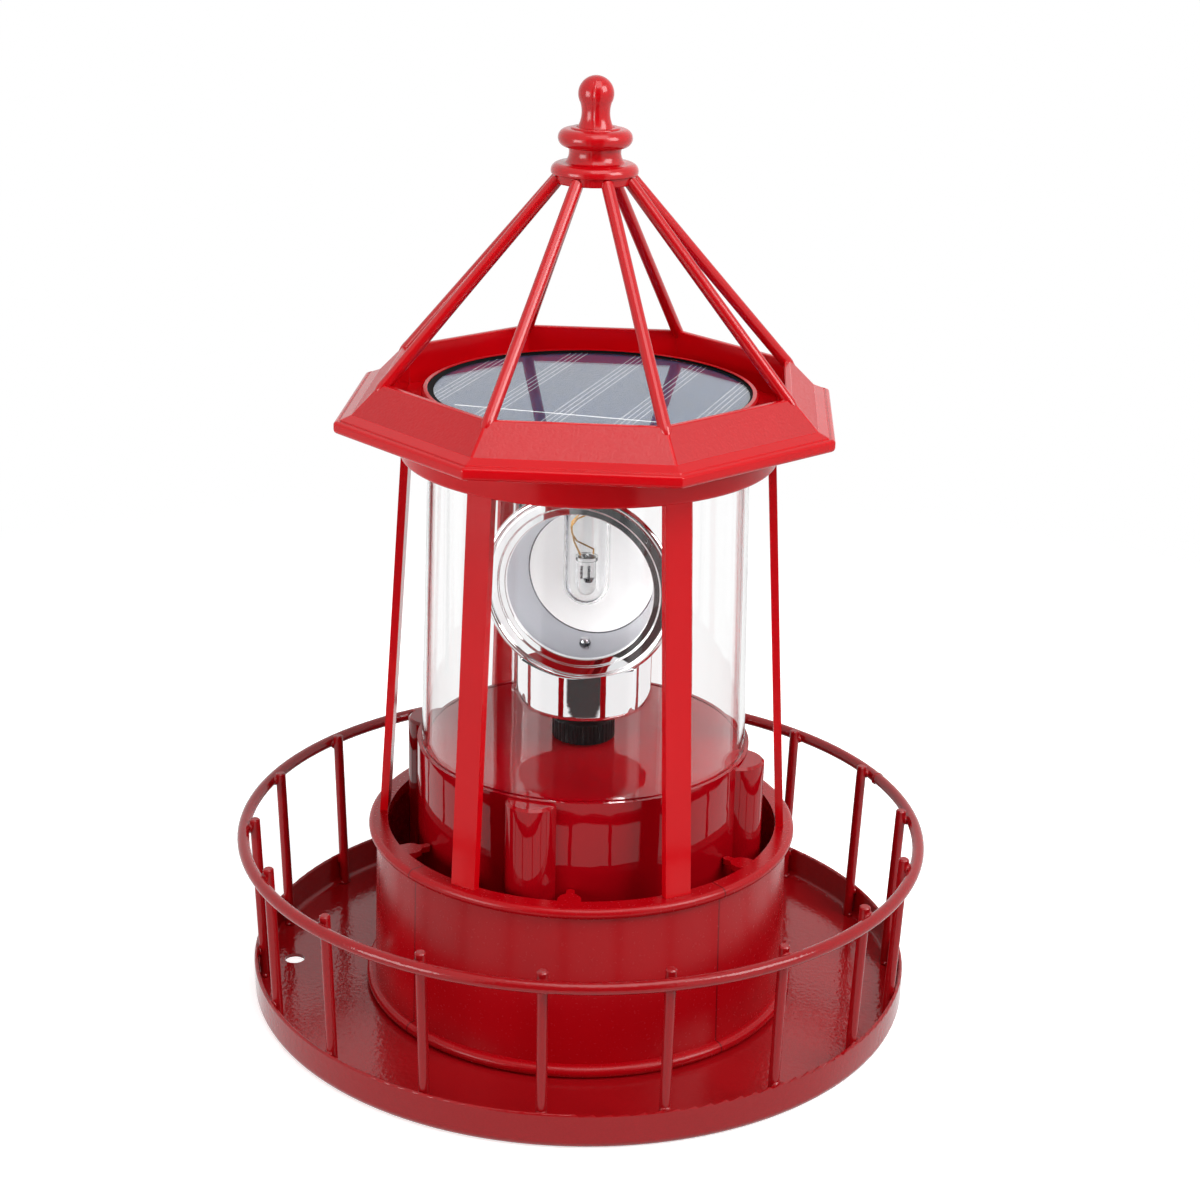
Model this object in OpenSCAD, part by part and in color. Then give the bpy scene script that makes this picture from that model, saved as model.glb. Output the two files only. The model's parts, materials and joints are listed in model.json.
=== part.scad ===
// Garden lighthouse ornament: a round red lantern with a turning beacon inside,
// standing on a sheet-metal tray with a wire railing, under an open roof of eight ribs.
// Millimetres. The origin is the centre of the tray's underside, +Z is up and the front is -Y.

/* [Tray] */
// Outer diameter of the tray pan
tray_d = 212.8; // [206:0.2:230]
// Height of the tray's upturned rim
tray_h = 11.8; // [9:0.1:16]
// Thickness of the tray's sheet metal
sheet_t = 1.2; // [0.8:0.1:1.6]
// Outer radius of the bend between the tray's floor and rim
bend_r = 3; // [2:0.1:5]
// How far the opening for the battery door and the switch stays inside the lamp base's wall
access_step = 7.5; // [7:0.5:10]
// Diameter of the drain hole
drain_d = 6.6; // [4:0.1:9]
// Distance of the drain hole's centre from the outside of the tray's rim
drain_inset = 11.6; // [8:0.2:20]
// Height of the raised dimples round the fixing screws
dimple_h = 2.2; // [1.8:0.1:3]

/* [Railing] */
// Number of railing posts
post_count = 18; // [12:1:24]
// How far the railing ring's centreline stands outside the tray's rim
rail_flare = 2.3; // [1.8:0.1:6]
// Height of the railing ring's centreline above the tray's rim
rail_rise = 42.6; // [30:0.2:60]
// Diameter of the railing ring's wire
rail_wire_d = 3.8; // [3:0.1:5]
// Diameter of the railing posts' wire
post_wire_d = 3.3; // [2.5:0.1:4]
// How far the post tips stand above the ring
post_tip = 1.3; // [0.5:0.1:3]

/* [Drum] */
// Width of the drum's foot flange
flange_w = 2.8; // [2.6:0.1:6]
// Thickness of the drum's foot flange
flange_t = 3.8; // [2.5:0.1:5]
// Height of the drum's rim above the table
drum_top = 58; // [50:0.5:66]
// Width of the gap between the lamp base and the drum's wall
drum_gap = 11.8; // [11:0.1:16]
// Taper of the drum wall, on the radius, from foot to rim
drum_draft = 1.1; // [0.4:0.1:1.6]
// Thickness of the drum wall
drum_wall = 2.4; // [1.8:0.1:3]
// How far the drum's rolled rim stands outside the wall's foot
rim_out = 1.5; // [1.2:0.1:3]
// How far the rolled rim reaches inwards from the outside of the wall's foot
rim_in = 4.6; // [4.2:0.1:5]
// Thickness of the drum's rolled rim
drum_rim_t = 3.5; // [3:0.1:4]
// Width of the six centring tongues inside the rim
tongue_w = 7.2; // [4:0.1:7.4]

/* [Cage] */
// Number of flat cage bars
bar_count = 6; // [4:1:8]
// Turn of the cage bars about the vertical
bar_yaw = -33; // [-60:1:60]
// Width of a cage bar
bar_w = 8.5; // [6:0.1:10]
// Thickness of a cage bar
bar_t = 2.5; // [2:0.1:3]
// Distance from the outside of the drum's rim in to a bar's foot
bar_inset = 3.5; // [2.9:0.1:3.7]
// Width of the gap between the panel housing and the cage's top ring
ring_gap = 4.3; // [2:0.1:6]
// Height of the cage's top ring
ring_h = 11.8; // [9:0.2:16]
// Wall of the cage's top ring
cage_ring_wall = 2.4; // [1.8:0.1:2.4]

/* [Roof] */
// Number of roof sides and ribs
roof_sides = 8; // [6:2:10]
// Turn of the roof's corners about the vertical
roof_yaw = -26; // [-45:1:45]
// Width of the roof from its inner rim to the brim's edge, at a corner
roof_w = 14.2; // [11:0.1:20]
// Width of the brim outside the sloped panels, at a corner
brim_w = 5.4; // [4:0.1:7]
// Height of that crease above the roof's underside
crease_h = 5.4; // [4.5:0.1:6.5]
// Height of the inner top rim above the roof's underside
rim_h = 14; // [12:0.2:18]
// Wall of the roof shell
roof_wall = 2; // [1.5:0.1:2.5]
// Diameter of the roof ribs
rib_d = 3.8; // [3:0.1:5]
// Height of the finial's tip above the roof's underside
roof_rise = 102.3; // [90:0.5:130]

/* [Lamp] */
// Outer diameter of the lamp base, round which the drum, cylinder, cage and roof are laid out
base_d = 106; // [100:0.5:116]
// How far the clear cylinder's foot stands inside the edge of the lamp base
base_step = 1.3; // [0.8:0.1:3]
// Taper of the clear cylinder, on the radius, from foot to top
clear_taper = 2.4; // [0:0.1:4]
// Wall of the clear cylinder
clear_wall = 1.6; // [1.2:0.1:2]
// How far the panel housing stands outside the clear cylinder's top
housing_step = 1.9; // [1:0.1:3]
// Height of the housing's lip above the roof's underside
lip_rise = 8.9; // [7:0.1:11]
// Wall of the housing's lip round the solar panel
lip_wall = 1.8; // [1.6:0.1:3]
// Depth of the panel's face below the housing's lip
panel_drop = 0.8; // [0.6:0.1:2]
// Wall of the lamp base
base_wall = 2; // [1.6:0.1:2.4]
// Height of the lamp base's deck
deck_z = 85.6; // [78:0.2:92]
// Turn of the four screw towers about the vertical
tower_yaw = -17; // [-21:1:-13]
// Outer diameter of the lamp's inner tube
tube_d = 14.4; // [12:0.1:15]
// How far the tube's closed end reaches below the reflector's axis
tube_drop = 8.4; // [7:0.1:11]
// Diameter of the light-emitting diode's lens
led_d = 5.8; // [5:0.1:7]

/* [Reflector] */
// Gap between the deck and the reflector's lowest edge
dish_gap = 22.5; // [20:0.1:30]
// Gap between the reflector's highest edge and the panel housing
head_room = 11.5; // [9:0.1:20]
// Turn of the reflector in the rest pose
dish_yaw = -13.7; // [-90:0.1:90]
// Outer radius of the reflector's flange
dish_r = 30.7; // [28:0.1:31.5]
// Distance of the flange's face in front of the turning axis
dish_front = 10.8; // [9.8:0.1:12]
// How much wider the reflector's flange is than its throat over the turning axis, on the radius
flange_reach = 9.4; // [9:0.1:10]
// Wall of the reflector
dish_wall = 1.4; // [1.2:0.1:1.8]
// Radius of the collar under the reflector
collar_r = 21.2; // [19:0.1:22]
// Gap between the deck and the collar
collar_gap = 11.8; // [9:0.2:14]
// Radius of the driving hub
hub_r = 10; // [8:0.1:12]

/* [Drive] */
// Gear module
gear_m = 0.6; // [0.5:0.05:0.65]
// Teeth on each pinion
pinion_teeth = 12; // [12:2:14]
// Teeth on each large gear
wheel_teeth = 36; // [30:6:36]
// Face width of the gears
gear_w = 3; // [2:0.1:3.6]
// Diameter of the output shaft
shaft_d = 4; // [3:0.1:4.4]

/* [Power] */
// Diameter of the battery
battery_d = 14.2; // [13.5:0.1:14.5]
// Length of the battery's case
battery_l = 48.6; // [44:0.1:49.5]
// Travel of the power switch's button
switch_travel = 1.5; // [1:0.1:2]

/* [Hidden] */
$fn = 64;
// Clearances, all on the radius or on one face
weld_gap = 0.1;
seat_gap = 0.05;
slot_gap = 0.2;
run_gap = 0.05;
spin_gap = 0.3;
thread_gap = 0.02;
cut = 1;
// Thread cores and screw sizes
pilot_r = 1.1;
screw_r = 1.4;
screw_head_r = 2.8;
screw_head_h = 1.6;
small_screw_r = 0.9;
small_head_r = 1.8;
small_head_h = 1.2;

tray_r = tray_d / 2;
base_r = base_d / 2;
access_r = base_r - access_step;
drain_r = tray_r - drain_inset;
rim_in_r = tray_r - sheet_t;
dimple_r = screw_head_r + sheet_t + 0.4;
floor_z = sheet_t;
dimple_top = sheet_t + dimple_h;

rail_r = tray_r + rail_flare;
rail_z = tray_h + rail_rise;
rail_yaw = -5.5;
post_pitch = 360 / post_count;
post_rim_r = rim_in_r - post_wire_d / 2 - weld_gap;
post_rail_r = rail_r - rail_wire_d / 2 - post_wire_d / 2 - weld_gap;
post_slope = (post_rail_r - post_rim_r) / (rail_z - tray_h);
bend_in_r = bend_r - sheet_t;
post_foot_u = bend_in_r - weld_gap - (tray_h - bend_r) * post_slope;
post_low = bend_r - sqrt(pow(bend_in_r, 2) - pow(post_foot_u, 2)) + weld_gap;
post_high = rail_z + rail_wire_d / 2 + post_tip;
tip_bevel = 0.4;

drum_r = base_r + drum_gap + drum_wall;
flange_r = drum_r + flange_w;
drum_rim_r = drum_r + rim_out;
drum_rim_in = drum_r - rim_in;
drum_rim_low = drum_top - drum_rim_t;
tongue_yaw = bar_yaw + 180 / bar_count;
tongue_t = 1.8;
tongue_z = drum_top - tongue_t - 0.6;
tongue_tip_r = base_r + spin_gap;
tongue_nib_w = 2.6;
tongue_step_r = tongue_tip_r + 3;
drum_boss_r = 3.6;
drum_boss_pcr = drum_r - drum_wall - dimple_r - slot_gap;
drum_boss_h = 12;
drum_web_w = 3;
drum_screw_l = 10;
tower_screw_l = 12;
drum_boss_yaw = bar_yaw;
drum_boss_count = 3;

clear_foot_r = base_r - base_step;
clear_top_r = clear_foot_r - clear_taper;
housing_r = clear_top_r + housing_step;
dish_z = deck_z + dish_gap + dish_r;
throat_r = dish_r - flange_reach;
housing_low = dish_z + dish_r + head_room;
ring_rise = 1.8;
cage_ring_z = housing_low - ring_rise;
roof_z = cage_ring_z + ring_h;
bar_foot_r = drum_rim_r - bar_inset;
cage_ring_r = housing_r + ring_gap + cage_ring_wall;
bar_top_r = cage_ring_r - 0.6;
bar_top_z = cage_ring_z + 2;
foot_tongue_w = bar_w - 3;
foot_tongue_t = bar_t - 0.7;
foot_tongue_h = drum_rim_t - 0.3;

rim_gap = 0.8;
rim_r = (cage_ring_r + rim_gap) / cos(180 / roof_sides) + roof_wall;
brim_r = rim_r + roof_w;
crease_r = brim_r - brim_w;
tip_z = roof_z + roof_rise;
lip_z = roof_z + lip_rise;
rim_z = roof_z + rim_h;
crease_z = roof_z + crease_h;
brim_drop = 2.3;
brim_z = crease_z - brim_drop;
edge_h = 0.6;
finial_r = 13;
ball_r = 5.3;
rib_low_r = rim_r - roof_wall * 0.6;
rib_low_z = rim_z - 0.7;
rib_top_r = finial_r - 1.6;
rib_top_z = tip_z - 29.8;

housing_wall = 2.4;
cap_floor_t = 2.2;
cap_flange_r = cage_ring_r - cage_ring_wall - spin_gap;
cap_flange_t = 2.2;
cap_flange_z = roof_z - cap_flange_t - seat_gap;
panel_r = housing_r - lip_wall;
panel_z = lip_z - panel_drop;
resin_t = 0.8;
board_t = 1.6;
panel_low = panel_z - resin_t - board_t;
spigot_h = 4;
panel_ledge = 1.6;

groove_depth = 0.8;
groove_in_r = clear_foot_r - clear_wall - weld_gap;
clear_low = deck_z - groove_depth + seat_gap;
clear_high = housing_low - seat_gap;
spigot_r = clear_top_r - clear_wall - 2 * seat_gap - 0.3;

deck_t = 2.2;
deck_low = deck_z - deck_t;
tower_r = 8.2;
tower_core_r = 4.3;
tower_pcr = base_r - 1.8;
tower_top = deck_z - 0.6;
tower_edge = 0.8;
tower_count = 4;

bush_r = shaft_d / 2 + 1.6;
bush_flange_r = shaft_d / 2 + 3.4;
bush_flange_t = 0.6;
bush_boss_r = bush_r + 2.4;
collar_z = deck_z + collar_gap;
hub_low = deck_z + bush_flange_t + slot_gap;
gear_teeth_sum = pinion_teeth + wheel_teeth;
centre_dist = gear_m * gear_teeth_sum / 2;
gear_angle = 25;
backlash_deg = 0.7;
addendum = 0.95;
dedendum = 1.25;
plate_drop = 23.6;
plate_top = deck_z - plate_drop;
plate_t = 2.4;
plate_r = base_r - 9.5;
stage_gap = 1;
idler_low = plate_top + 2.6;
output_low = idler_low + gear_w + stage_gap;
bush_low = output_low + gear_w + stage_gap;
drive_yaw = 90;
idler_pin_r = 1;
motor_r = 9.5;
motor_h = 24;
motor_shaft_r = 1;
motor_out_r = 2 * centre_dist;
motor_boss_r = 4;
motor_boss_h = 1.5;
motor_bore_h = 6;
lead_notch = 4;
sleeve_wall = 1.5;
hub_groove_r = 0.5;
peg_r = 1.1;
peg_pcr = 6.6;
plate_low = plate_top - plate_t;
shaft_top = collar_z - 0.6;
pillar_r = 3;
pillar_pcr = base_r - 16;
pillar_yaw = 30;
pillar_count = 3;
pin_socket_h = 3;

plate_in_r = base_r - base_wall - 0.2;
cover_low = 4.2;
cover_t = 2;
cover_top = cover_low + cover_t;
cover_boss_r = 3;
cover_boss_pcr = base_r - base_wall - cover_boss_r + 0.6;
cover_boss_h = 10;
cover_boss_yaw = 29;
cover_boss_count = 3;
pilot_depth = 9;
small_screw_l = 6;
battery_y = -19;
battery_r = battery_d / 2;
battery_z = cover_top + battery_r + 0.3;
nub_l = 1.4;
nub_r = 2.7;
contact_t = 0.5;
contact_w = 10.4;
cradle_gap = 0.5;
cradle_l = battery_l + nub_l + 2 * contact_t + 2 * cradle_gap;
cradle_t = 1.6;
cradle_h = 13;
door_l = 44;
door_w = 12.4;
door_ledge = 1;
switch_y = 17;
switch_body_w = 8.4;
switch_body_h = 7;
button_r = 2.6;
button_out = 2.2;
button_collar_r = 3.4;
button_collar_t = 0.8;
button_stem_r = 1.6;
switch_pocket_h = button_collar_t + switch_travel + spin_gap;
pcb_z = cover_top + switch_body_h + 0.05;
pcb_t = 1.6;
pcb_l = 40;
pcb_w = 26;
pcb_y = 24;
board_post_w = 3;
capacitor_r = 3;
capacitor_h = 8;
chip_w = 4.6;

lead_a = 209.5;
lead_pcr = clear_top_r - 4.9;
lead_r = 1;
lead_tube_r = 2.8;
lead_tube_wall = 0.6;
lead_elbow_z = 34;
wire_sides = 8;

tube_r = tube_d / 2;
tube_z = dish_z - tube_drop;
tube_wall = 1.1;
tube_top = housing_low + cap_floor_t / 2;
socket_r = tube_r + 2.2;
socket_low = housing_low - 8;
led_z = dish_z + 7.6;
led_len = 13.1;
led_flange_t = 1.2;
led_lead_r = 0.28;
led_lead_hole_r = 3;

hem_r = 1.1;
flange_step_r = dish_r - 4.4;
throat_front_r = dish_r - 7.1;
throat_front_u = dish_front - 2;
flange_back_u = throat_front_u - dish_wall * 0.4;
throat_back_r = throat_r - 0.5;
throat_back_u = -7.3;
bowl_r = throat_back_r + 1.2;
bowl_u = throat_back_u + sqrt(pow(bowl_r, 2) - pow(throat_back_r, 2));
tube_hole_r = tube_r + 2.3;
collar_top = dish_z - throat_r + 0.8;
collar_wall = 1.6;
collar_fillet = 6;
collar_post_r = 3.6;
collar_mouth_r = dish_r - 3.4;
reflector_screw_l = 10;

rail_posts = [for (i = [1 : post_count]) str("railing_post_", i < 10 ? "0" : "", i)];

// Places its children at angle a from the front, r from the centre and at height z.
module place(a, r = 0, z = 0) {
    rotate([0, 0, a]) translate([0, -r, z]) children();
}

// Repeats its children n times round the centre.
module around(n, yaw, r = 0, z = 0) {
    for (i = [0 : n - 1]) place(yaw + i * 360 / n, r, z) children();
}

// Ring of rectangular section, turned about the vertical.
module band(r_in, r_out, low, high) {
    rotate_extrude() translate([r_in, low]) square([r_out - r_in, high - low]);
}

// Screw with its head down at height z, shank pointing up.
module screw_up(head_r, head_h, shank_r, length) {
    cylinder(r = head_r, h = head_h);
    cylinder(r = shank_r, h = head_h + length);
}

function unit(v) = v / norm(v);
function ring_dir(p, i) = let (n = len(p) - 1)
    unit(unit(p[min(i + 1, n)] - p[min(i, n - 1)]) + unit(p[max(i, 1)] - p[max(i - 1, 0)]));

function ring_point(k, d, u) = cos(k * 360 / wire_sides) * u + sin(k * 360 / wire_sides) * cross(d, u);

// Wire: rings of flat sides swept along points that all lie off the Y direction.
module wire(points, r) {
    last = len(points) - 1;
    top = last * wire_sides;
    rings = [for (i = [0 : last]) let (d = ring_dir(points, i), u = unit(cross([0, 1, 0], d)))
        for (k = [0 : wire_sides - 1]) points[i] + r * ring_point(k, d, u)];
    walls = [for (i = [0 : last - 1]) for (k = [0 : wire_sides - 1])
        let (m = (k + 1) % wire_sides, low = i * wire_sides, high = low + wire_sides)
        each [[low + k, high + k, high + m], [low + k, high + m, low + m]]];
    caps = [for (k = [1 : wire_sides - 2]) each [[0, k, k + 1], [top, top + k + 1, top + k]]];
    polyhedron(points = rings, faces = concat(walls, caps), convexity = 6);
}

// ---- tray and railing ----

module tray_profile() {
    translate([access_r, 0]) square([tray_r - bend_r - access_r, sheet_t]);
    translate([rim_in_r, bend_r]) square([sheet_t, tray_h - bend_r - sheet_t / 2]);
    translate([tray_r - sheet_t / 2, tray_h - sheet_t / 2]) circle(d = sheet_t);
    translate([tray_r - bend_r, bend_r]) intersection() {
        difference() {
            circle(r = bend_r);
            circle(r = bend_r - sheet_t);
        }
        translate([0, -bend_r]) square(bend_r);
    }
}

// Children at each place where a screw goes up through the tray.
module tray_screw_places() {
    around(tower_count, tower_yaw, tower_pcr) children();
    around(drum_boss_count, drum_boss_yaw, drum_boss_pcr) children();
}

module tray_pan() {
    color("firebrick") difference() {
        union() {
            rotate_extrude() tray_profile();
            tray_screw_places() cylinder(r = dimple_r, h = dimple_top);
        }
        tray_screw_places() {
            translate([0, 0, -1]) cylinder(r = dimple_r - sheet_t, h = dimple_h + 1);
            cylinder(r = screw_r + 0.2, h = dimple_top + 1);
        }
        place(-92, drain_r, -1) cylinder(d = drain_d, h = sheet_t + 2);
    }
}

module tray_screws() {
    color("silver") around(tower_count, tower_yaw, tower_pcr, dimple_h - screw_head_h - seat_gap)
        screw_up(screw_head_r, screw_head_h, pilot_r - thread_gap, tower_screw_l);
}

module drum_screws() {
    color("silver") around(drum_boss_count, drum_boss_yaw, drum_boss_pcr, dimple_h - screw_head_h - seat_gap)
        screw_up(screw_head_r, screw_head_h, pilot_r - thread_gap, drum_screw_l);
}

module railing_ring() {
    color("firebrick") rotate_extrude() translate([rail_r, rail_z]) circle(d = rail_wire_d);
}

// A post leans outwards from the inside of the tray's rim to the inside of the ring.
module railing_post(i) {
    low_r = post_rim_r - (tray_h - post_low) * post_slope;
    lean = atan(post_slope);
    length = (post_high - post_low) / cos(lean);
    color("firebrick") place(rail_yaw + (i - 1) * post_pitch, low_r, post_low) rotate([lean, 0, 0]) {
        cylinder(d = post_wire_d, h = length - tip_bevel);
        translate([0, 0, length - tip_bevel])
            cylinder(d1 = post_wire_d, d2 = post_wire_d - 2 * tip_bevel, h = tip_bevel);
    }
}

// ---- drum and cage ----

module drum_profile() {
    wall_top_r = drum_r - drum_draft;
    polygon([[drum_r - drum_wall, floor_z + seat_gap], [drum_r, floor_z + seat_gap],
        [wall_top_r, drum_rim_low + 1], [wall_top_r - drum_wall, drum_rim_low + 1]]);
    translate([drum_r - drum_wall, floor_z + seat_gap])
        square([flange_r - flange_t / 2 - drum_r + drum_wall, flange_t]);
    translate([flange_r - flange_t / 2, floor_z + seat_gap + flange_t / 2]) circle(d = flange_t);
    translate([drum_rim_in, drum_rim_low])
        square([drum_rim_r - drum_rim_t / 2 - drum_rim_in, drum_rim_t]);
    translate([drum_rim_r - drum_rim_t / 2, drum_rim_low + drum_rim_t / 2]) circle(d = drum_rim_t);
}

// Flat tongue that points inwards from the drum's rim, with a narrow nib at its tip.
module centring_tongue() {
    translate([0, 0, tongue_z]) linear_extrude(height = tongue_t) {
        translate([-tongue_w / 2, -drum_rim_in - 1])
            square([tongue_w, drum_rim_in + 1 - tongue_step_r - tongue_w / 2]);
        translate([0, -tongue_step_r - tongue_w / 2]) circle(d = tongue_w);
        translate([-tongue_nib_w / 2, -tongue_step_r - 0.5])
            square([tongue_nib_w, tongue_step_r + 0.5 - tongue_tip_r - tongue_nib_w / 2]);
        translate([0, -tongue_tip_r - tongue_nib_w / 2]) circle(d = tongue_nib_w);
    }
}

module foot_slot() {
    slot_w = foot_tongue_w + 2 * slot_gap;
    slot_t = foot_tongue_t + 2 * slot_gap;
    translate([-slot_w / 2, -slot_t / 2, drum_top - drum_rim_t - 1]) cube([slot_w, slot_t, drum_rim_t + 2]);
}

module lower_drum() {
    color("crimson") difference() {
        union() {
            rotate_extrude() drum_profile();
            around(bar_count, tongue_yaw) centring_tongue();
            around(drum_boss_count, drum_boss_yaw, drum_boss_pcr, dimple_top + seat_gap) {
                cylinder(r = drum_boss_r, h = drum_boss_h);
                translate([-drum_web_w / 2, drum_boss_pcr - drum_r + drum_wall / 2, 0])
                    cube([drum_web_w, drum_r - drum_wall / 2 - drum_boss_pcr, drum_boss_h]);
            }
        }
        around(bar_count, bar_yaw, bar_foot_r - bar_t / 2) foot_slot();
        around(drum_boss_count, drum_boss_yaw, drum_boss_pcr, dimple_h)
            cylinder(r = pilot_r, h = drum_boss_h);
    }
}

// A bar leans inwards from its foot on the drum's rim to the top ring.
module cage_bar() {
    foot_z = drum_top + seat_gap;
    rotate([90, 0, 90]) translate([0, 0, -bar_w / 2]) linear_extrude(height = bar_w)
        polygon([[-bar_foot_r, foot_z], [-bar_foot_r + bar_t, foot_z],
            [-bar_top_r + bar_t, bar_top_z], [-bar_top_r, bar_top_z]]);
    translate([-foot_tongue_w / 2, -bar_foot_r + bar_t / 2 - foot_tongue_t / 2, foot_z - foot_tongue_h])
        cube([foot_tongue_w, foot_tongue_t, foot_tongue_h + 1]);
}

module cage_frame() {
    ring_in = cage_ring_r - cage_ring_wall;
    color("crimson") {
        rotate_extrude() {
            translate([ring_in, cage_ring_z + cage_ring_wall / 2])
                square([cage_ring_wall, roof_z - seat_gap - cage_ring_z - cage_ring_wall / 2]);
            translate([ring_in + cage_ring_wall / 2, cage_ring_z + cage_ring_wall / 2])
                circle(d = cage_ring_wall);
        }
        around(bar_count, bar_yaw) cage_bar();
    }
}

// ---- roof ----

// Section of the roof shell through a corner: inner wall, top edge, sloped panel, brim.
module roof_profile() {
    slope_in = roof_wall * 1.3;
    polygon([[rim_r - roof_wall, roof_z], [rim_r - roof_wall, rim_z], [rim_r - edge_h, rim_z],
        [rim_r, rim_z - edge_h], [crease_r, crease_z], [brim_r - edge_h, brim_z + 0.2],
        [brim_r, brim_z - edge_h], [brim_r, roof_z + edge_h], [brim_r - edge_h, roof_z],
        [brim_r - roof_wall, roof_z], [brim_r - roof_wall, brim_z - roof_wall],
        [crease_r - 0.5, crease_z - slope_in], [rim_r, rim_z - 1.7 * slope_in], [rim_r, roof_z]]);
}

// Section of the finial: ball, neck, two round-edged discs and a foot that takes the ribs.
module finial_profile() {
    neck_r = 4.2;
    neck_cut_r = 9;
    neck_low = 15.2;
    step_r = 7.3;
    step_low = 15.8;
    disc_r = 11.05;
    disc_edge = 2.7;
    disc_mid = 18;
    waist_r = 7.7;
    waist_cut_r = 4;
    waist_mid = 22.2;
    plate_edge = 2.4;
    plate_mid = 27.6;
    plate_low = 28.3;
    foot_r = 12.1;
    foot_low = 30.9;
    intersection() {
        translate([0, -foot_low]) square([finial_r + cut, foot_low]);
        union() {
            translate([0, -ball_r]) circle(r = ball_r);
            difference() {
                translate([0, -neck_low]) square([neck_r + cut, neck_low - ball_r]);
                translate([neck_r + neck_cut_r, -2 * ball_r]) circle(r = neck_cut_r);
            }
            translate([0, -step_low]) square([step_r, cut]);
            translate([0, -disc_mid - disc_edge]) square([disc_r - disc_edge, 2 * disc_edge]);
            translate([disc_r - disc_edge, -disc_mid]) circle(r = disc_edge);
            difference() {
                translate([0, -plate_mid]) square([waist_r + cut, plate_mid - disc_mid]);
                translate([waist_r + waist_cut_r, -waist_mid]) circle(r = waist_cut_r);
            }
            difference() {
                union() {
                    translate([0, -plate_low]) square([finial_r - plate_edge, plate_low + plate_edge - plate_mid]);
                    translate([finial_r - plate_edge, -plate_mid]) circle(r = plate_edge);
                }
                translate([0, -foot_low]) square([finial_r + cut, foot_low - plate_low]);
            }
            translate([0, -foot_low]) square([foot_r, foot_low - plate_mid]);
        }
    }
}

module roof_rib() {
    run = rib_low_r - rib_top_r;
    rise = rib_top_z - rib_low_z;
    translate([0, -rib_low_r, rib_low_z]) {
        rotate([-atan(run / rise), 0, 0]) cylinder(d = rib_d, h = norm([run, rise]));
        sphere(d = rib_d);
    }
}

module roof_frame() {
    color("crimson") {
        rotate([0, 0, roof_yaw - 90]) rotate_extrude($fn = roof_sides) roof_profile();
        difference() {
            rotate([0, 0, roof_yaw - 90]) translate([0, 0, roof_z])
                cylinder(r = rim_r - roof_wall / 2, h = roof_wall, $fn = roof_sides);
            translate([0, 0, roof_z - 1]) cylinder(r = housing_r + slot_gap, h = roof_wall + 2);
        }
        around(roof_sides, roof_yaw) roof_rib();
        translate([0, 0, tip_z]) rotate_extrude() finial_profile();
    }
}

// ---- lamp ----

module panel_housing() {
    floor_high = housing_low + cap_floor_t;
    color("crimson") difference() {
        union() {
            translate([0, 0, housing_low]) cylinder(r = housing_r, h = lip_z - housing_low - edge_h);
            translate([0, 0, lip_z - edge_h]) cylinder(r1 = housing_r, r2 = housing_r - edge_h, h = edge_h);
            translate([0, 0, cap_flange_z]) cylinder(r = cap_flange_r, h = cap_flange_t);
            translate([0, 0, housing_low - spigot_h]) cylinder(r = spigot_r, h = spigot_h + cut);
            translate([0, 0, socket_low]) cylinder(r = socket_r, h = housing_low - socket_low + cut);
        }
        translate([0, 0, panel_low]) cylinder(r = panel_r + seat_gap, h = lip_z);
        translate([0, 0, floor_high])
            cylinder(r = panel_r - panel_ledge, h = panel_low - floor_high + cut);
        band(socket_r, spigot_r - housing_wall, socket_low - cut, housing_low);
        translate([0, 0, socket_low - cut]) cylinder(r = tube_r + seat_gap, h = tube_top - socket_low + cut);
        translate([0, 0, socket_low]) cylinder(r = led_lead_hole_r, h = lip_z - socket_low);
        place(lead_a, lead_pcr, housing_low - spigot_h - cut)
            cylinder(r = lead_r + seat_gap, h = spigot_h + cap_floor_t + 2 * cut);
    }
}

module solar_board() {
    color([0.1, 0.11, 0.14]) translate([0, 0, panel_low + seat_gap])
        cylinder(r = panel_r, h = board_t - seat_gap);
}

module solar_resin() {
    color([0.45, 0.5, 0.56]) translate([0, 0, panel_low + board_t]) cylinder(r = panel_r, h = resin_t);
}

module clear_cylinder() {
    rise = clear_high - clear_low;
    color([0.85, 0.9, 0.95, 0.35]) translate([0, 0, clear_low]) difference() {
        cylinder(r1 = clear_foot_r, r2 = clear_top_r, h = rise);
        translate([0, 0, -0.01])
            cylinder(r1 = clear_foot_r - clear_wall, r2 = clear_top_r - clear_wall, h = rise + 0.02);
    }
}

module lead_tube() {
    low = deck_z + seat_gap;
    high = housing_low - spigot_h - seat_gap;
    color([0.85, 0.9, 0.95, 0.35]) place(lead_a, lead_pcr, low) difference() {
        cylinder(r = lead_tube_r, h = high - low);
        translate([0, 0, -1]) cylinder(r = lead_tube_r - lead_tube_wall, h = high - low + 2);
    }
}

// The lead drops from the housing through the tube and the deck, then turns to the board.
module solar_lead() {
    top = [lead_pcr * sin(lead_a), -lead_pcr * cos(lead_a), housing_low + cap_floor_t + 1];
    elbow = [top[0], top[1], lead_elbow_z];
    joint = [-pcb_l * 0.3, pcb_y + pcb_w * 0.25, pcb_z + pcb_t + lead_r + seat_gap];
    color("black") wire([top, elbow, joint], lead_r);
}

module led_tube() {
    color([0.85, 0.9, 0.95, 0.35]) difference() {
        union() {
            translate([0, 0, tube_z + tube_r]) cylinder(r = tube_r, h = tube_top - tube_z - tube_r);
            translate([0, 0, tube_z + tube_r]) sphere(r = tube_r);
        }
        translate([0, 0, tube_z + tube_r]) cylinder(r = tube_r - tube_wall, h = tube_top);
        translate([0, 0, tube_z + tube_r]) sphere(r = tube_r - tube_wall);
    }
}

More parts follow.
